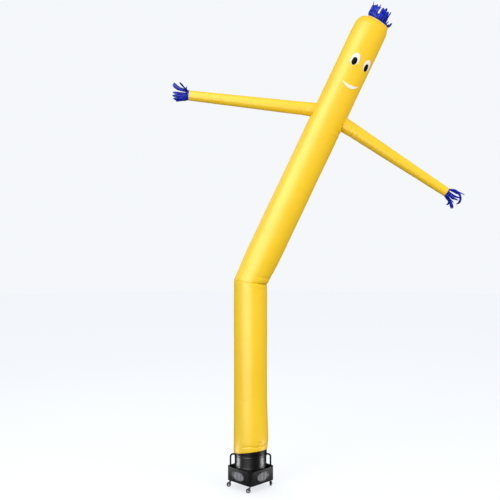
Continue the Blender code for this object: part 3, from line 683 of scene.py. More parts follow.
def body_swell(angle, height):
    swell = sewn_shape(BODY_SEAMS, angle, height, BODY_RADIUS) + armhole_puckers(angle, height)
    fade = min(max((BODY_LENGTH - height) / 0.10, 0), 1)
    return swell * fade - gathers(angle, abs(BODY_LENGTH - 0.015 - height), 0.030, 30, 0.0035)


body = Tube(bend_frame, body_sections, body_folds, body_slants, body_swell, BODY_SEAMS)
upper_tube = roll_tube("upper_tube", body, seam_columns(), YELLOW)
finish(upper_tube, "yellow_nylon", *(f"body_sleeve_{length}" for length in BODY_LENGTHS))

# %% [markdown]
# ## The arms
#
# Each arm is a tapering tube. It starts a seam allowance inside its armhole, so the hole is cut from the
# upper tube with a cone a little wider than the arm, and the arm is trimmed inside with a round core.

# %% The arms
SEAM_ALLOWANCE = 0.010
ARMHOLE_END = 0.32
ARMHOLE_LOOSE = 0.0030


def arm_radius(arm, height):
    return arm.root + (arm.cuff - arm.root) * (height - ARM_START) / (arm.length - ARM_START)


def arm_tube(arm):
    steps = ((ARM_START, 0.0095), (0.50, 0.022), (arm.length - 0.12, 0.009), (arm.length, 0.009))
    sections = [Section(at, arm_radius(arm, at), arm_radius(arm, at), 0, step) for at, step in steps]

    def swell(angle, height):
        amount = unevenness(angle, height + 9 * arm.rise, arm.root) * 0.5
        amount += gathers(angle, max(height - 0.27, 0), 0.075, 11, 0.0035) - 0.0012
        return amount - gathers(angle, arm.length - height, 0.050, 13, 0.0022)

    return Tube(bend_frame @ ARM_FRAMES[arm.name], sections, arm.folds, (), swell, ())


def add_tool(radius, top, low, high, frame_of_tool):
    """A closed cone that a modifier cuts with; it is removed afterwards."""
    bpy.ops.mesh.primitive_cone_add(vertices=96, radius1=radius, radius2=top, depth=high - low)
    tool = bpy.context.object
    tool.data.transform(frame_of_tool @ moved((0, 0, (low + high) / 2)))
    return tool


def cut_away(thing, tool):
    modify(thing, "BOOLEAN", operation="DIFFERENCE", solver="EXACT", object=tool)
    bpy.data.objects.remove(tool)


arm_tubes, arm_sleeves = {}, {}
for arm in ARMS:
    tube = arm_tubes[arm.name] = arm_tube(arm)
    sleeve = arm_sleeves[arm.name] = roll_tube(f"arm_sleeve_{arm.name}", tube, even_columns(72, 90), YELLOW)
    core = BODY_RADIUS - CLOTH - SEAM_ALLOWANCE
    cut_away(sleeve, add_tool(core, core, arm.body_height - 0.45, arm.body_height + 0.45, bend_frame))
    start, end = arm.root + ARMHOLE_LOOSE, arm_radius(arm, ARMHOLE_END) + ARMHOLE_LOOSE
    cut_away(upper_tube, add_tool(start, end, ARM_START, ARMHOLE_END + 0.03, tube.frame))
    finish(sleeve, "yellow_nylon", f"arm_{arm.name}")
print("upper tube faces:", len(upper_tube.data.polygons))

# %% [markdown]
# ## Seams round the armholes
#
# Where an arm is sewn in, the two edges are turned together and bound. The binding shows as a narrow raised
# cord that follows the hole. Its path is found by walking out along the arm at each angle until the
# distance from the upper tube's axis is the tube's radius.

# %% Seams round the armholes
BINDING_RADIUS = 0.0042


def armhole_path(arm, count=72):
    path = []
    for step in range(count):
        angle = 360 * step / count
        low, high = ARM_START, 0.7
        for _ in range(40):
            middle = (low + high) / 2
            spot = bend_frame.inverted() @ tube_point(arm_tubes[arm.name], angle, middle)
            if hypot(spot.x, spot.y) < BODY_RADIUS - 0.0005:
                low = middle
            else:
                high = middle
        path.append(tube_point(arm_tubes[arm.name], angle, low))
    return path


def shade_by_angle(thing, angle=50):
    select_only(thing)
    bpy.ops.object.shade_smooth_by_angle(angle=radians(angle))


def cord_mesh(name, path, radius, closed, material, roundness=1):
    """A round cord or tube along a path, as a mesh."""
    curve = bpy.data.curves.new(name, "CURVE")
    curve.dimensions = "3D"
    curve.bevel_depth = radius
    curve.bevel_resolution = roundness
    curve.use_fill_caps = not closed
    spline = curve.splines.new("POLY")
    spline.points.add(len(path) - 1)
    spline.use_cyclic_u = closed
    for point, place in zip(spline.points, path):
        point.co = (*place, 1)
    cord = bpy.data.objects.new(name, curve)
    bpy.context.scene.collection.objects.link(cord)
    select_only(cord)
    bpy.ops.object.convert(target="MESH")
    cord = bpy.context.object
    merge_doubles(cord, 0.00002)
    cover(cord, material)
    shade_by_angle(cord)
    return cord


for arm in ARMS:
    binding = cord_mesh(f"armhole_binding_{arm.name}", armhole_path(arm), BINDING_RADIUS, True, YELLOW)
    finish(binding, "yellow_nylon")

# %% [markdown]
# ## The face
#
# The eyes and the smile are patches of nylon sewn flat on the upper tube. Each patch is a grid of cloth
# that is given its outline first, and then laid on the tube's surface, swells and all, so that it never
# sinks into it.

# %% The face
PATCH_THICK = 0.0010
PATCH_GAP = 0.0006


def lay_patch(name, columns, rows, outline, angle, height, layer, material):
    """A patch whose outline turns a square from -1 to 1 into its flat shape."""
    patch = cut_grid(name, columns, rows)
    out = PATCH_GAP + layer * (PATCH_THICK + PATCH_GAP)

    def flat(column, row):
        return outline(2 * column / columns - 1, 2 * row / rows - 1)

    def place(column, row):
        aside, up = flat(column, row)
        return tube_point(body, angle + degrees(aside / BODY_RADIUS), height + up, out)

    lay_cloth(patch, place, flat)
    merge_doubles(patch, 0.00001)
    modify(patch, "SOLIDIFY", thickness=PATCH_THICK, offset=1)
    cover(patch, material)
    patch.data.shade_smooth()
    return patch


def oval(width, tall):
    def outline(x, y):
        return (width / 2 * x * (1 - y * y / 2) ** 0.5, tall / 2 * y * (1 - x * x / 2) ** 0.5)
    return outline


def crescent(chord, upper_sag, lower_sag, tilt):
    def outline(x, y):
        aside = chord / 2 * x
        sag = lower_sag + (upper_sag - lower_sag) * (y + 1) / 2
        up = sag * (x * x - 1)
        return (aside * cos(tilt) - up * sin(tilt), aside * sin(tilt) + up * cos(tilt))
    return outline


EYE_HEIGHT = 3.280
EYE_ANGLES = {"left": -94.2, "right": -44.9}
EYE_SIZE, PUPIL_SIZE = (0.117, 0.170), (0.072, 0.110)
PUPIL_DROP = 0.029
SMILE_ANGLE, SMILE_HEIGHT = -71, 2.973
for side, angle in EYE_ANGLES.items():
    white = lay_patch(f"eye_{side}", 20, 24, oval(*EYE_SIZE), angle, EYE_HEIGHT, 0, WHITE)
    low = EYE_HEIGHT - PUPIL_DROP
    black = lay_patch(f"eye_pupil_{side}", 16, 20, oval(*PUPIL_SIZE), angle, low, 1, BLACK)
    finish(white, "white_nylon", f"eye_white_{side}")
    finish(black, "black_nylon", f"pupil_{side}")
smile_shape = crescent(0.270, 0.034, 0.076, radians(7))
smile = lay_patch("smile_patch", 36, 6, smile_shape, SMILE_ANGLE, SMILE_HEIGHT, 0, WHITE)
finish(smile, "white_nylon", "smile")

# %% [markdown]
# ## Streamers
#
# The vent and both cuffs end in streamers of blue nylon, cut from one band that is sewn inside the sleeve's
# end. The air makes them stand up, fork and curl. Each streamer is a narrow ribbon that grows in short
# steps: at each step it turns a little outward, sideways and about its own length, more so towards its tip,
# which is cut blunt. Neighbouring ribbons follow the same clump with small differences. A clump takes up a
# few facets of the band, and its lean, curl, sway, twist, fork and roll are angles in degrees.

# %% Streamers
Clump = namedtuple("Clump", "wide ribbons width length lean curl sway twist fork roll")
BARE = Clump(1, 0, 0, 0, 0, 0, 0, 0, 0, 0)
HAIR = [Clump(*row) for row in (
    (2, 2, 0.044, 0.152, 1, 1, 0, 4, 6, 55),
    (0, 1, 0.017, 0.192, 3, 7, 0, -8, 0, 30),
    (3, 3, 0.048, 0.166, 2, -1, 0, 3, 8, 0),
    (0, 1, 0.016, 0.190, 1, 5, -2, 8, 0, 20),
    (1, 1, 0.046, 0.060, 2, 1, 0, 4, 0, 0),
    (3, 3, 0.046, 0.168, 3, 2, -2, -4, 8, 0),
    (1, 1, 0.046, 0.164, 8, 1, -1, 5, 8, 20),
    (1, 1, 0.040, 0.050, 14, 2, 0, 6, 0, 20),
    (2, 2, 0.040, 0.028, 14, 2, 0, 6, 0, 20),
    (2, 1, 0.042, 0.078, 14, 8, 4, -6, 0, 60),
    (2, 2, 0.040, 0.030, 8, 3, 1, 5, 10, 20),
    (1, 1, 0.040, 0.050, 8, 3, 1, 5, 10, 20),
    (2, 2, 0.046, 0.150, 6, 1, -1, 4, 10, 0),
    (0, 1, 0.018, 0.196, 8, 4, -4, 10, 0, 30),
    BARE,
    (1, 1, 0.044, 0.158, 0, 0, 1, -4, 8, 0),
    BARE,
    (1, 1, 0.044, 0.158, 0, 0, 1, -4, 8, 0),
    (0, 1, 0.040, 0.222, -6, -2, 9, 8, 0, 10),
    (2, 2, 0.046, 0.150, 2, 0, -2, 6, 0, 20),
    (2, 2, 0.046, 0.142, 2, 1, -1, -5, 8, 55),
)]
HAND_LEFT = [Clump(*row) for row in (
    (1, 1, 0.038, 0.165, 6, 3, -3, -10, 0, 60),
    (1, 1, 0.038, 0.190, 2, 5, 2, 6, 0, 20),
    (2, 2, 0.040, 0.215, 1, 3, 1, 4, 10, 0),
    (1, 1, 0.040, 0.090, 12, 4, 0, 6, 0, 20),
    (1, 1, 0.044, 0.170, 38, 5, 2, 6, 0, 45),
    (2, 2, 0.038, 0.262, 2, 15, -1, 4, 4, 75),
    (1, 1, 0.026, 0.125, 46, 22, 2, -6, 0, 70),
    (1, 1, 0.040, 0.090, 12, 4, 0, 6, 0, -30),
    (2, 2, 0.036, 0.185, 4, 2, 0, 6, 10, 0),
    BARE,
    (1, 1, 0.036, 0.160, 8, 3, 3, -6, 0, -40),
)]
HAND_RIGHT = [Clump(*row) for row in (
    (1, 1, 0.040, 0.305, 20, -40, 2, -4, 0, 75),
    (1, 1, 0.016, 0.215, 18, -6, 4, 6, 0, 40),
    BARE,
    (2, 2, 0.028, 0.185, 3, -3, 3, 6, 16, 0),
    (1, 1, 0.036, 0.150, 8, 6, 0, 8, 0, 20),
    (2, 2, 0.036, 0.225, 8, 15, 2, 4, 5, 75),
    (1, 1, 0.034, 0.170, 6, 32, 0, -4, 0, 75),
    BARE,
    (2, 2, 0.034, 0.150, 8, -2, 2, 8, 12, 0),
    BARE,
    (1, 1, 0.034, 0.150, 8, 2, 3, -6, 0, -40),
)]
BAND_HEIGHT = 0.030
BAND_SEAT = 0.010
BAND_GAP = 0.0032
ROOT_DEPTH = 0.006
LAYER = 0.0016
STREAMER_THICK = 0.0007
RIBBON_STEPS = 14
RIBBON_COLUMNS = 4
CLUMP_TURNS = 4
ROLLED_BY = 0.22
PLAIN_FORK = 8


def jitter(*key):
    """A number of about -1 to 1 that is always the same for the same key."""
    return noise.noise(Vector((key[0] * 7.31 + 0.5, key[1] * 3.17 + 0.25, key[2] * 1.93 + 0.75))) * 1.8


def turned(curl, sway, twist):
    out = Matrix.Rotation(radians(curl), 3, "Y")
    return out @ Matrix.Rotation(radians(sway), 3, "X") @ Matrix.Rotation(radians(twist), 3, "Z")


def ribbon_rows(root, outward, clump, share, key):
    """The rows of a ribbon's points from its root; share is its place in the clump, from -1 to 1."""
    length = clump.length * (1 + 0.08 * jitter(key, 1, 0)) * (1 - 0.10 * abs(share))
    turn = outward @ Matrix.Rotation(radians(clump.lean + 4 * jitter(key, 2, 0)), 3, "Y")
    middle, rows = root.copy(), []
    side = share * (clump.fork / 2 or PLAIN_FORK)
    for step in range(RIBBON_STEPS + 1):
        part = step / RIBBON_STEPS
        across = clump.width * (1 - 0.15 * part) * min(1.0, 5.0 * (1.07 - part))
        cup = 0.16 * clump.width * sin(pi * min(1, 2 * part)) + 0.25 * across * part
        facing = turn @ Matrix.Rotation(radians(clump.roll * min(1.0, part / ROLLED_BY)), 3, "Z")
        places = [2 * column / RIBBON_COLUMNS - 1 for column in range(RIBBON_COLUMNS + 1)]
        rows.append([middle + facing @ Vector((cup * (1 - place * place), place * across / 2, 0))
                     for place in places])
        flutter = 5.0 * sin(2 * pi * (1.3 * part + 0.5 * jitter(key, 3, 0))) * part
        fan = -side * 1.5 / RIBBON_STEPS * (1 if part > 0.3 else 0.4)
        scale = 2 * part * CLUMP_TURNS / RIBBON_STEPS
        turn = turn @ turned(
            clump.curl * scale + 0.8 * flutter, clump.sway * scale + fan, clump.twist * scale + flutter * 0.8)
        middle = middle + turn @ Vector((0, 0, length / RIBBON_STEPS))
    return rows


def add_strip(bm, rows, uv_layer, key):
    grid = [[bm.verts.new(point) for point in row] for row in rows]
    for low, high in zip(grid, grid[1:]):
        for a, b, c, d in zip(low, low[1:], high[1:], high):
            face = bm.faces.new((a, b, c, d))
            for loop, vertex in zip(face.loops, (a, b, c, d)):
                source = low if vertex in low else high
                uv = (0.012 * source.index(vertex) + 0.3 * key, 0.016 * grid.index(source))
                loop[uv_layer].uv = uv


def make_streamers(name, frame_of_band, sides, sleeve_radius, height, shift, slant, clumps):
    """A band seated inside a sleeve's end, and the ribbons that grow from its upper edge."""
    radius = sleeve_radius - BAND_GAP
    bm = bmesh.new()
    uv_layer = bm.loops.layers.uv.new("UVMap")
    fine = sides * 3

    def rim(angle, level):
        x, y = radius * cos(radians(angle)), radius * sin(radians(angle))
        return Vector((x + shift, y, height + level + slant.right * x + slant.back * y))

    levels = (-BAND_SEAT, 0.0, BAND_HEIGHT - BAND_SEAT)
    add_strip(bm, [[rim(180 + 360 * step / fine, level) for step in range(fine + 1)] for level in levels],
              uv_layer, 0)
    facet, first, count = 360 / sides, 0, 0
    for clump in clumps:
        start = 180 + first * facet
        first += clump.wide
        if not clump.length:
            continue
        for number in range(clump.ribbons):
            count += 1
            angle = start + clump.wide * facet * (number + 0.5) / clump.ribbons
            share = (2 * number + 1) / clump.ribbons - 1
            layer = LAYER * (1 + number % 2)
            root = rim(angle, BAND_HEIGHT - BAND_SEAT - ROOT_DEPTH)
            outward = Matrix.Rotation(radians(angle), 3, "Z")
            root = root - outward @ Vector((layer, 0, 0))
            add_strip(bm, ribbon_rows(root, outward, clump, share, count), uv_layer, count)
    bmesh.ops.remove_doubles(bm, verts=bm.verts, dist=0.00002)
    bmesh.ops.transform(bm, matrix=frame_of_band, verts=bm.verts)
    mesh = bpy.data.meshes.new(name)
    bm.to_mesh(mesh)
    bm.free()
    streamers = bpy.data.objects.new(name, mesh)
    bpy.context.scene.collection.objects.link(streamers)
    mesh.materials.append(BLUE)
    modify(streamers, "SOLIDIFY", thickness=STREAMER_THICK, offset=0)
    mesh.shade_smooth()
    print(name, "ribbons:", count, "faces:", len(streamers.data.polygons))
    return streamers


hair = make_streamers("hair_streamers", bend_frame, 28, VENT_RADIUS, NECK_TOP, VENT_SHIFT, VENT_SLANT, HAIR)
finish(hair, "blue_nylon", "hair_fringe")
LEVEL = Slant(0.0, 1.0, 0.0, 0.0)
for arm, clumps in zip(ARMS, (HAND_LEFT, HAND_RIGHT)):
    place = arm_tubes[arm.name].frame
    hand = make_streamers(f"hand_streamers_{arm.name}", place, 14, arm.cuff, arm.length, 0, LEVEL, clumps)
    finish(hand, "blue_nylon", f"hand_fringe_{arm.name}")

# %% [markdown]

# %% [markdown]
# ## Finishes of the blower
#
# The blower is moulded in black plastic with a fine grain. The outlet barrel is smoother, so it catches
# long sheens down its sides. Dust dulls the gloss in patches. The bare metal is zinc-plated steel, and the
# tyres are hard black rubber.


# %% Finishes of the blower
def make_plastic(name, color, roughness, grain, gloss=0.5):
    """Moulded plastic: a fine grain in its relief, and a little dust in its colour and gloss."""
    material, tree, shader = start_material(name, Specular_IOR_Level=gloss)
    place = add_node(tree, "ShaderNodeTexCoord").outputs["Object"]
    dust = add_noise(tree, place, 6.0, 4.0)
    lighter = tuple(min(1.0, channel * 1.5 + 0.006) for channel in color)
    tint = blend_colors(tree, spread_values(tree, dust, 0, 0.6, 0.45, 0.8), color, lighter)
    tree.links.new(tint, shader.inputs["Base Color"])
    tree.links.new(spread_values(tree, dust, roughness - 0.06, roughness + 0.08), shader.inputs["Roughness"])
    add_bump(tree, shader, add_noise(tree, place, 900.0, 2.0), grain, 0.0004)
    return material


def make_metal(name, color, roughness):
    """Plated steel: fine drawn marks, and a gloss that varies with them."""
    material, tree, shader = start_material(name, Metallic=1.0)
    place = add_node(tree, "ShaderNodeTexCoord").outputs["Object"]
    marks = add_noise(tree, place, 140.0, 3.0, (1, 1, 0.1))
    darker = tuple(channel * 0.75 for channel in color)
    tree.links.new(blend_colors(tree, marks, darker, color), shader.inputs["Base Color"])
    tree.links.new(spread_values(tree, marks, roughness - 0.08, roughness + 0.1), shader.inputs["Roughness"])
    return material


HOUSING = make_plastic("housing_moulded", (0.004, 0.004, 0.005), 0.40, 0.6, 0.22)
BARREL = make_plastic("barrel_moulded", (0.007, 0.007, 0.008), 0.32, 0.10, 0.8)
BLACK_PLASTIC = make_plastic("black_moulded", (0.004, 0.004, 0.005), 0.40, 0.4, 0.25)
GRILLE = make_plastic("grille_moulded", (0.38, 0.38, 0.40), 0.46, 0.4)
FRAME = make_plastic("grille_frame_moulded", (0.055, 0.055, 0.060), 0.38, 0.3)
HANDLE_PAINT = make_plastic("handle_powder_coat", (0.003, 0.003, 0.004), 0.36, 0.5, 0.2)
ZINC = make_metal("zinc_plate", (0.66, 0.67, 0.70), 0.30)
RUBBER = make_plastic("tyre_rubber", (0.005, 0.005, 0.006), 0.55, 0.8, 0.25)
HUB = make_plastic("hub_moulded", (0.62, 0.62, 0.60), 0.42, 0.3)
finishes = (HOUSING, BARREL, BLACK_PLASTIC, GRILLE, FRAME, HANDLE_PAINT, ZINC, RUBBER, HUB)
print("blower finishes:", [material.name for material in finishes])

# %% [markdown]
# ## Modelling tools
#
# Hard pieces are modelled as by hand. A primitive is added at its size and place, faces or edges are picked
# by where they lie, and edit-mode operators shape them. A turned piece starts as a ring of points that is
# laid out as its profile and spun once round its axis. A bevel then rounds every sharp edge, because no
# moulded or pressed edge is truly sharp, and it is the rounded edge that catches the light.


# %% Modelling tools
SHARP_EDGE = 35


def start_piece(name, material):
    """Names the primitive that was added last, and moves its place and size into its mesh."""
    piece = bpy.context.object
    rename(piece, name)
    select_only(piece)
    bpy.ops.object.transform_apply(location=True, rotation=True, scale=True)
    piece.data.materials.append(material)
    return piece


def start_block(name, size, place, material, turn=0.0):
    bpy.ops.mesh.primitive_cube_add(size=1, location=place, rotation=(0, 0, turn), scale=size)
    return start_piece(name, material)


def pick(piece, kind, wanted):
    """Enters edit mode with only the wanted faces or edges selected."""
    select_only(piece)
    bpy.ops.object.mode_set(mode="EDIT")
    bpy.ops.mesh.select_mode(type=kind)
    bpy.ops.mesh.select_all(action="DESELECT")
    bm = bmesh.from_edit_mesh(piece.data)
    for item in (bm.faces if kind == "FACE" else bm.edges):
        if wanted(item):
            item.select_set(True)
    bmesh.update_edit_mesh(piece.data)


def is_upright(edge):
    low, high = sorted(vertex.co.z for vertex in edge.verts)
    return high - low > 0.9 * edge.calc_length()


def round_off(piece, width, steps=2):
    """Rounds every sharp edge, then shades the piece smooth with its flat faces left flat."""
    modify(piece, "BEVEL", width=width, segments=steps, limit_method="ANGLE", angle_limit=radians(SHARP_EDGE))
    shade_by_angle(piece)
    modify(piece, "WEIGHTED_NORMAL", keep_sharp=True, weight=80)
    return piece


def turn_profile(name, profile, material, place, steps=48):
    """A closed profile of (radius, height) points, spun once round Z and then put in its place."""
    bpy.ops.mesh.primitive_circle_add(vertices=len(profile), fill_type="NOTHING")
    piece = start_piece(name, material)
    for vertex, (radius, height) in zip(piece.data.vertices, profile):
        vertex.co = (radius, 0, height)
    edit_all(piece)
    bpy.ops.mesh.spin(steps=steps, angle=2 * pi, center=(0, 0, 0), axis=(0, 0, 1))
    bpy.ops.mesh.select_all(action="SELECT")
    bpy.ops.mesh.remove_doubles(threshold=0.00002)
    bpy.ops.mesh.normals_make_consistent(inside=False)
    leave_edit()
    piece.data.transform(place)
    return piece


def join_pieces(name, pieces):
    bpy.ops.object.select_all(action="DESELECT")
    for piece in pieces:
        piece.select_set(True)
    bpy.context.view_layer.objects.active = pieces[0]
    bpy.ops.object.join()
    rename(pieces[0], name)
    return pieces[0]


def copy_piece(piece, name, place):
    """A copy with its own mesh, moved to its place."""
    twin = piece.copy()
    twin.data = piece.data.copy()
    rename(twin, name)
    bpy.context.scene.collection.objects.link(twin)
    twin.data.transform(place)
    return twin


def discard(*pieces):
    for piece in pieces:
        bpy.data.objects.remove(piece)


print("modelling tools ready")

# %% [markdown]
# ## The base housing
#
# The blower's base is a square tub that stands corner to the front, with its corners cut flat. A block is
# turned, its upright edges are cut and rounded, and a parting line is let in all round below the lid. Each
# side has an oval recess for its grille. The lid's edge and the recesses are rounded last.

# %% The base housing
BASE_SIDE = 0.471
BASE_BOTTOM = 0.095
BASE_TOP = 0.280
CORNER_FLAT = 0.054
GRILLE_SIZE = (0.232, 0.122)
RECESS_DEPTH = 0.030
PARTING = 0.028
GROOVE = 0.0035
GROOVE_DEPTH = 0.003
CASTER_OUT = 0.268
CASTER_PLACES = {"front": (0.0, -CASTER_OUT, 188), "right": (CASTER_OUT, 0.0, 72),
                 "back": (0.0, CASTER_OUT, 20), "left": (-CASTER_OUT, 0.0, 205)}
STEM_RADIUS = 0.006
STEM_LENGTH = 0.030
SOCKET_GAP = 0.0006
SIDES = [Matrix.Rotation(radians(-45 + 90 * quarter), 4, "Z") for quarter in range(4)]
BASE_MIDDLE = (BASE_TOP + BASE_BOTTOM) / 2


def side_place(quarter):
    """The middle of a side face, with X along it, Y up and Z outward."""
    upright = Matrix.Rotation(pi / 2, 4, "X")
    lifted = stand_frame @ moved((0, 0, BASE_MIDDLE))
    return lifted @ SIDES[quarter] @ upright @ moved((0, 0, BASE_SIDE / 2))


def add_oval(size, low, high, place, material):
    """A solid oval block, which a recess is cut with."""
    bpy.ops.mesh.primitive_cylinder_add(vertices=72, radius=0.5, depth=high - low,
                                        location=(0, 0, (low + high) / 2), scale=(*size, 1))
    piece = start_piece("oval", material)
    piece.data.transform(place)
    return piece


base_size = (BASE_SIDE, BASE_SIDE, BASE_TOP - BASE_BOTTOM)
housing = start_block("base_housing_shell", base_size, (LEG_X, 0, BASE_MIDDLE), HOUSING, pi / 4)
pick(housing, "EDGE", is_upright)
bpy.ops.mesh.bevel(offset=CORNER_FLAT / 2 ** 0.5, segments=1, affect="EDGES")
for depth in (PARTING, PARTING + GROOVE):
    bpy.ops.mesh.select_all(action="SELECT")
    bpy.ops.mesh.bisect(plane_co=(0, 0, BASE_TOP - depth), plane_no=(0, 0, 1))
leave_edit()
pick(housing, "FACE", lambda face: abs(face.calc_center_median().z - BASE_TOP + PARTING + GROOVE / 2) < 0.001)
bpy.ops.mesh.extrude_region_shrink_fatten(TRANSFORM_OT_shrink_fatten={"value": -GROOVE_DEPTH})
leave_edit()
for quarter in range(4):
    cut_away(housing, add_oval(GRILLE_SIZE, -RECESS_DEPTH, 0.02, side_place(quarter), HOUSING))
for x, y, _ in CASTER_PLACES.values():
    bpy.ops.mesh.primitive_cylinder_add(vertices=24, radius=STEM_RADIUS + SOCKET_GAP,
                                        depth=2 * STEM_LENGTH + 0.001, location=(LEG_X + x, y, BASE_BOTTOM))
    cut_away(housing, start_piece("socket", HOUSING))
round_off(housing, 0.0028, 3)
finish(housing, "housing_plastic", "base_housing")
print("housing faces:", len(housing.data.polygons))

# %% [markdown]
# ## Grilles
#
# Each side has an oval intake grille: a raised frame with upright slats behind it. The frame is an oval
# plate that is inset, opened and given a thickness. Each slat is a thin block, as tall as the oval is at
# its place, with rounded edges.

# %% Grilles
SLATS = 9
SLAT_PITCH = 0.02675
SLAT_SIZE = (0.0125, 0.0090)
SLAT_IN = 0.0085
FRAME_WIDTH = 0.009
FRAME_THICK = 0.0055
FRAME_WIDER = 0.006

for quarter in range(4):
    across, tall = (size + FRAME_WIDER for size in GRILLE_SIZE)
    bpy.ops.mesh.primitive_circle_add(vertices=72, radius=0.5, fill_type="NGON")
    ring = start_piece("grille_frame", FRAME)
    ring.data.transform(Matrix.Diagonal((across, tall, 1, 1)))
    edit_all(ring)
    bpy.ops.mesh.inset(thickness=FRAME_WIDTH)
    bpy.ops.mesh.delete(type="FACE")
    leave_edit()
    modify(ring, "SOLIDIFY", thickness=FRAME_THICK, offset=1)
    ring.data.transform(side_place(quarter) @ moved((0, 0, 0.0003)))
    round_off(ring, 0.0018, 3)
    finish(ring, "housing_plastic")
    rename(ring, f"grille_frame_{quarter + 1}")
    slats = []
    for number in range(SLATS):
        aside = (number - (SLATS - 1) / 2) * SLAT_PITCH
        tall = GRILLE_SIZE[1] * (1 - (2 * aside / GRILLE_SIZE[0]) ** 2) ** 0.5 - 0.004
        slats.append(start_block("slat", (SLAT_SIZE[0], tall, SLAT_SIZE[1]), (aside, 0, -SLAT_IN), GRILLE))
    grille = join_pieces(f"grille_slats_{quarter + 1}", slats)
    grille.data.transform(side_place(quarter))
    round_off(grille, 0.0022, 3)
    finish(grille, "grille_plastic", f"intake_grille_{quarter + 1}")
print("grilles:", len(SIDES), "with", SLATS, "slats each")

# %% [markdown]
# ## The outlet barrel and its collar
#
# The outlet is a turned barrel with a rolled foot and a bead below the collar. The collar is a stouter ring
# that the dancer's elastic hem grips, with a lip at its lower edge. Both are profiles spun round the
# blower's axis.

# %% The outlet barrel and its collar
BARREL_RADIUS = 0.2164
BARREL_WALL = 0.004
BARREL_TOP = 0.545
COLLAR_BOTTOM = 0.457
COLLAR_RADIUS = 0.2181
COLLAR_WALL = 0.0036
COLLAR_LIP = 0.0010
LIP_HEIGHTS = (0.463, 0.466)
BEAD = 0.0022
BEAD_HEIGHT = 0.437
FOOT_BEAD = 0.017


def bead(radius, middle):
    """The points of a low round bead that goes round the barrel."""
    return [(radius, middle - 0.006), (radius + BEAD * 0.8, middle - 0.0035), (radius + BEAD, middle),
            (radius + BEAD * 0.8, middle + 0.0035), (radius, middle + 0.006)]


foot = BASE_TOP + 0.0003
barrel_inside = BARREL_RADIUS - BARREL_WALL
barrel_profile = [(barrel_inside, foot), (BARREL_RADIUS, foot), *bead(BARREL_RADIUS, foot + FOOT_BEAD),
                  *bead(BARREL_RADIUS, BEAD_HEIGHT), (BARREL_RADIUS, BARREL_TOP), (barrel_inside, BARREL_TOP)]
barrel = turn_profile("outlet_barrel_shell", barrel_profile, BARREL, stand_frame, 128)
finish(round_off(barrel, 0.0012), "barrel_plastic", "outlet_barrel")
outer = COLLAR_RADIUS + COLLAR_WALL
lip = outer + COLLAR_LIP
collar_profile = [(COLLAR_RADIUS, COLLAR_BOTTOM), (lip, COLLAR_BOTTOM), (lip, LIP_HEIGHTS[0]),
                  (outer, LIP_HEIGHTS[1]), (outer, BARREL_TOP), (COLLAR_RADIUS, BARREL_TOP)]
collar = turn_profile("hem_collar", collar_profile, BLACK_PLASTIC, stand_frame, 128)
finish(round_off(collar, 0.0008), "black_plastic", "outlet_collar")
print("barrel faces:", len(barrel.data.polygons))

# %% [markdown]
# ## Brackets, screws and handles
#
# Four angle brackets hold the barrel's foot. A bracket is a plate whose lowest strip is extruded outward to
# make its foot. Bright screws with cross slots hold it both ways, and one more sits on the barrel above it.
# The two handles are bent steel tubes, with a pressed flange where each end is fixed.

# %% Brackets, screws and handles
CLIP_WIDTH = 0.024
CLIP_FOOT = 0.020
CLIP_HEIGHT = 0.034
CLIP_THICK = 0.004
CLIP_FACETS = (3, 11, 17, 25)
FACETS_ROUND = 28
CLIP_RADIUS = BARREL_RADIUS + 0.0004
SCREW_RADIUS = 0.0052
SCREW_DOME = [(0, 0.0030), (0.0028, 0.0026), (0.0045, 0.0014), (SCREW_RADIUS, 0), (0, 0)]


def make_bracket():
    middle = (CLIP_RADIUS + CLIP_THICK / 2, 0, foot + CLIP_HEIGHT / 2)
    bracket = start_block("bracket", (CLIP_THICK, CLIP_WIDTH, CLIP_HEIGHT), middle, BLACK_PLASTIC)
    edit_all(bracket)
    bpy.ops.mesh.bisect(plane_co=(0, 0, foot + CLIP_THICK), plane_no=(0, 0, 1))
    leave_edit()
    top = foot + CLIP_THICK
    pick(bracket, "FACE", lambda face: face.normal.x > 0.9 and face.calc_center_median().z < top)
    bpy.ops.mesh.extrude_region_move(TRANSFORM_OT_translate={"value": (CLIP_FOOT - CLIP_THICK, 0, 0)})
    leave_edit()
    return round_off(bracket, 0.0011)


def make_screw():
    """A domed head with a cross slot sunk into it."""
    screw = turn_profile("screw", SCREW_DOME, ZINC, Matrix(), 20)
    for size in ((0.0066, 0.0013, 0.002), (0.0013, 0.0066, 0.002)):
        cut_away(screw, start_block("slot", size, (0, 0, SCREW_DOME[0][1]), ZINC))
    shade_by_angle(screw, 40)
    return screw


bracket, screw = make_bracket(), make_screw()
on_wall = moved((CLIP_RADIUS + CLIP_THICK, 0, foot + 0.023)) @ Matrix.Rotation(pi / 2, 4, "Y")
on_foot = moved((CLIP_RADIUS + 0.0125, 0, foot + CLIP_THICK))
on_barrel = moved((BARREL_RADIUS, 0, foot + 0.068)) @ Matrix.Rotation(pi / 2, 4, "Y")
screws = []
for number, facet in enumerate(CLIP_FACETS, 1):
    turn = stand_frame @ Matrix.Rotation(-2 * pi * facet / FACETS_ROUND, 4, "Z")
    finish(copy_piece(bracket, f"barrel_bracket_{number}", turn), "black_plastic", f"barrel_clip_{number}")
    screws += [copy_piece(screw, f"screw_{number}", turn @ seat) for seat in (on_wall, on_foot, on_barrel)]
finish(join_pieces("bracket_screws", screws), "zinc_steel")
discard(bracket, screw)

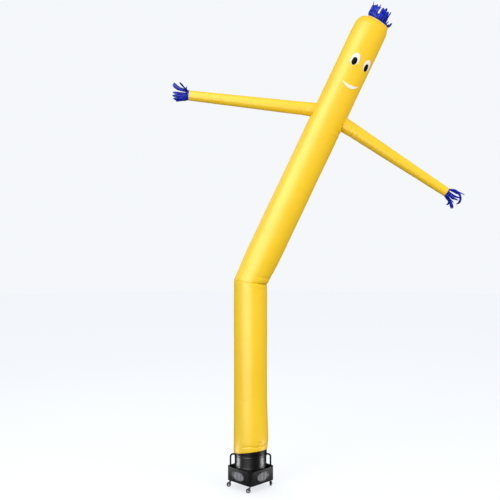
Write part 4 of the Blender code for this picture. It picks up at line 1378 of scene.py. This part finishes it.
HANDLE_X = 0.272
HANDLE_TOP = 0.4415
HANDLE_BEND = 0.040
HANDLE_RADIUS = 0.0120
FLANGE = [(0, 0), (0.0210, 0), (0.0210, 0.0018), (0.0150, 0.0040), (HANDLE_RADIUS + 0.0008, 0.0060),
          (0, 0.0060)]
BEND_STEPS = 12
flanges = []
for name, side in (("left", -1), ("right", 1)):
    turns = [pi / 2 * step / BEND_STEPS for step in range(BEND_STEPS + 1)]
    bend = [(HANDLE_BEND * cos(turn), HANDLE_BEND * sin(turn)) for turn in turns]
    corner = (HANDLE_X - HANDLE_BEND, HANDLE_TOP - HANDLE_BEND)
    path = [(HANDLE_X, foot), *((corner[0] + x, corner[1] + z) for x, z in bend),
            (BARREL_RADIUS + 0.0004, HANDLE_TOP)]
    points = [Vector((LEG_X + side * x, 0, z)) for x, z in path]
    handle = cord_mesh(f"handle_tube_{name}", points, HANDLE_RADIUS, False, HANDLE_PAINT, 4)
    finish(handle, "handle_paint", f"handle_{name}")
    base_end = stand_frame @ moved((side * HANDLE_X, 0, foot))
    wall_end = stand_frame @ moved((side * (BARREL_RADIUS + 0.0002), 0, HANDLE_TOP))
    for end in (base_end, wall_end @ Matrix.Rotation(side * pi / 2, 4, "Y")):
        flanges.append(round_off(turn_profile("flange", FLANGE, HANDLE_PAINT, end, 32), 0.0006))
finish(join_pieces("handle_flanges", flanges), "handle_paint")
print("brackets:", len(CLIP_FACETS), "handles:", 2)

# %% [markdown]
# ## Casters
#
# A swivel caster has a ball race on a stem, a pressed fork of two tapering cheeks, and a rubber tyre on a
# pale moulded hub that turns on a bolt. Each is modelled once, upright and trailing along +X, and copied to
# the four corners at the angle that it trails there. The fork and the wheel move with bodies of their own.

# %% Casters
TRAIL = 0.030
WHEEL_RADIUS = 0.031
CHEEK_THICK = 0.003
CHEEK_INSIDE = 0.0125
CHEEK_FOOT = 0.0105
RACE_TOP = BASE_BOTTOM - 0.0003
CROWN = RACE_TOP - 0.0100
LYING = Matrix.Rotation(pi / 2, 4, "X")
axle_place = moved((TRAIL, 0, WHEEL_RADIUS)) @ LYING

RACE = [(0, BASE_BOTTOM + STEM_LENGTH), (STEM_RADIUS, BASE_BOTTOM + STEM_LENGTH), (STEM_RADIUS, RACE_TOP),
        (0.0205, RACE_TOP), (0.0210, RACE_TOP - 0.0032), (0.0178, RACE_TOP - 0.0040),
        (0.0178, RACE_TOP - 0.0054), (0.0208, RACE_TOP - 0.0062), (0.0190, CROWN), (0, CROWN)]
BOLT = [(0, -0.0200), (0.0035, -0.0195), (0.0060, -0.0175), (0.0060, -0.0156), (0.0040, -0.0156),
        (0.0040, 0.0156), (0, 0.0156)]
TYRE = [(0.0198, -0.0085), (0.0265, -0.0108), (0.0293, -0.0092), (0.0307, -0.0065), (WHEEL_RADIUS, 0),
        (0.0307, 0.0065), (0.0293, 0.0092), (0.0265, 0.0108), (0.0198, 0.0085)]
HUB_PROFILE = [(0.0046, -0.0108), (0.0085, -0.0108), (0.0102, -0.0060), (0.0168, -0.0048), (0.0196, -0.0088),
               (0.0196, 0.0088), (0.0168, 0.0048), (0.0102, 0.0060), (0.0085, 0.0108), (0.0046, 0.0108)]


def make_cheek(side):
    """A round foot whose upper half is drawn up to the crown, as a plate with a thickness."""
    bpy.ops.mesh.primitive_circle_add(vertices=24, radius=CHEEK_FOOT, fill_type="NGON")
    plate = start_piece("cheek", ZINC)
    for vertex in plate.data.vertices:
        aside, up = vertex.co.x, vertex.co.y
        share = max(up, 0) / CHEEK_FOOT
        height = WHEEL_RADIUS + up + share * (CROWN - WHEEL_RADIUS - CHEEK_FOOT)
        vertex.co = (TRAIL + aside * (1 + 0.5 * share) - 0.027 * share, side * CHEEK_INSIDE, height)
    modify(plate, "SOLIDIFY", thickness=CHEEK_THICK, offset=side)
    edit_all(plate)
    bpy.ops.mesh.normals_make_consistent(inside=False)
    leave_edit()
    return plate


race = turn_profile("race", RACE, ZINC, Matrix(), 32)
bolt = turn_profile("bolt", BOLT, ZINC, axle_place, 24)
bpy.ops.mesh.primitive_cylinder_add(vertices=6, radius=0.0068, depth=0.0048)
nut = start_piece("nut", ZINC)
nut.data.transform(axle_place @ moved((0, 0, 0.0180)))
crown_size = (0.030, 2 * (CHEEK_INSIDE + CHEEK_THICK), 0.0030)
crown = start_block("crown", crown_size, (0.003, 0, CROWN + 0.0012), ZINC)
fork = round_off(join_pieces("fork", [race, bolt, nut, crown, make_cheek(-1), make_cheek(1)]), 0.0006)
tyre = round_off(turn_profile("tyre", TYRE, RUBBER, axle_place, 48), 0.0004)
hub = round_off(turn_profile("hub", HUB_PROFILE, HUB, axle_place, 48), 0.0004)
caster_pieces = (
    (fork, "fork", "zinc_steel", "fork", ("caster_fork",)),
    (tyre, "tyre", "caster_rubber", "wheel", ("caster_wheel",)),
    (hub, "hub", "grille_plastic", "wheel", ()),
)
for corner, (x, y, trails) in CASTER_PLACES.items():
    place = stand_frame @ moved((x, y, 0)) @ Matrix.Rotation(radians(trails), 4, "Z")
    for piece, name, slot, body_name, nodes_shown in caster_pieces:
        here = copy_piece(piece, f"{name}_{corner}", place)
        finish(here, slot, *(f"{node}_{corner}" for node in nodes_shown), body=f"{body_name}_{corner}")
discard(fork, tyre, hub)
print("casters:", len(CASTER_PLACES))

# %% [markdown]
# ## The size of the dressed model
#
# The box of the plain solids and the box of the dressed model are written down side by side. They should
# differ by centimetres at most.

# %% The size of the dressed model
boxes = [[list(corner) for corner in box] for box in (solid_box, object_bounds())]
print("solids:", boxes[0], "dressed:", boxes[1])
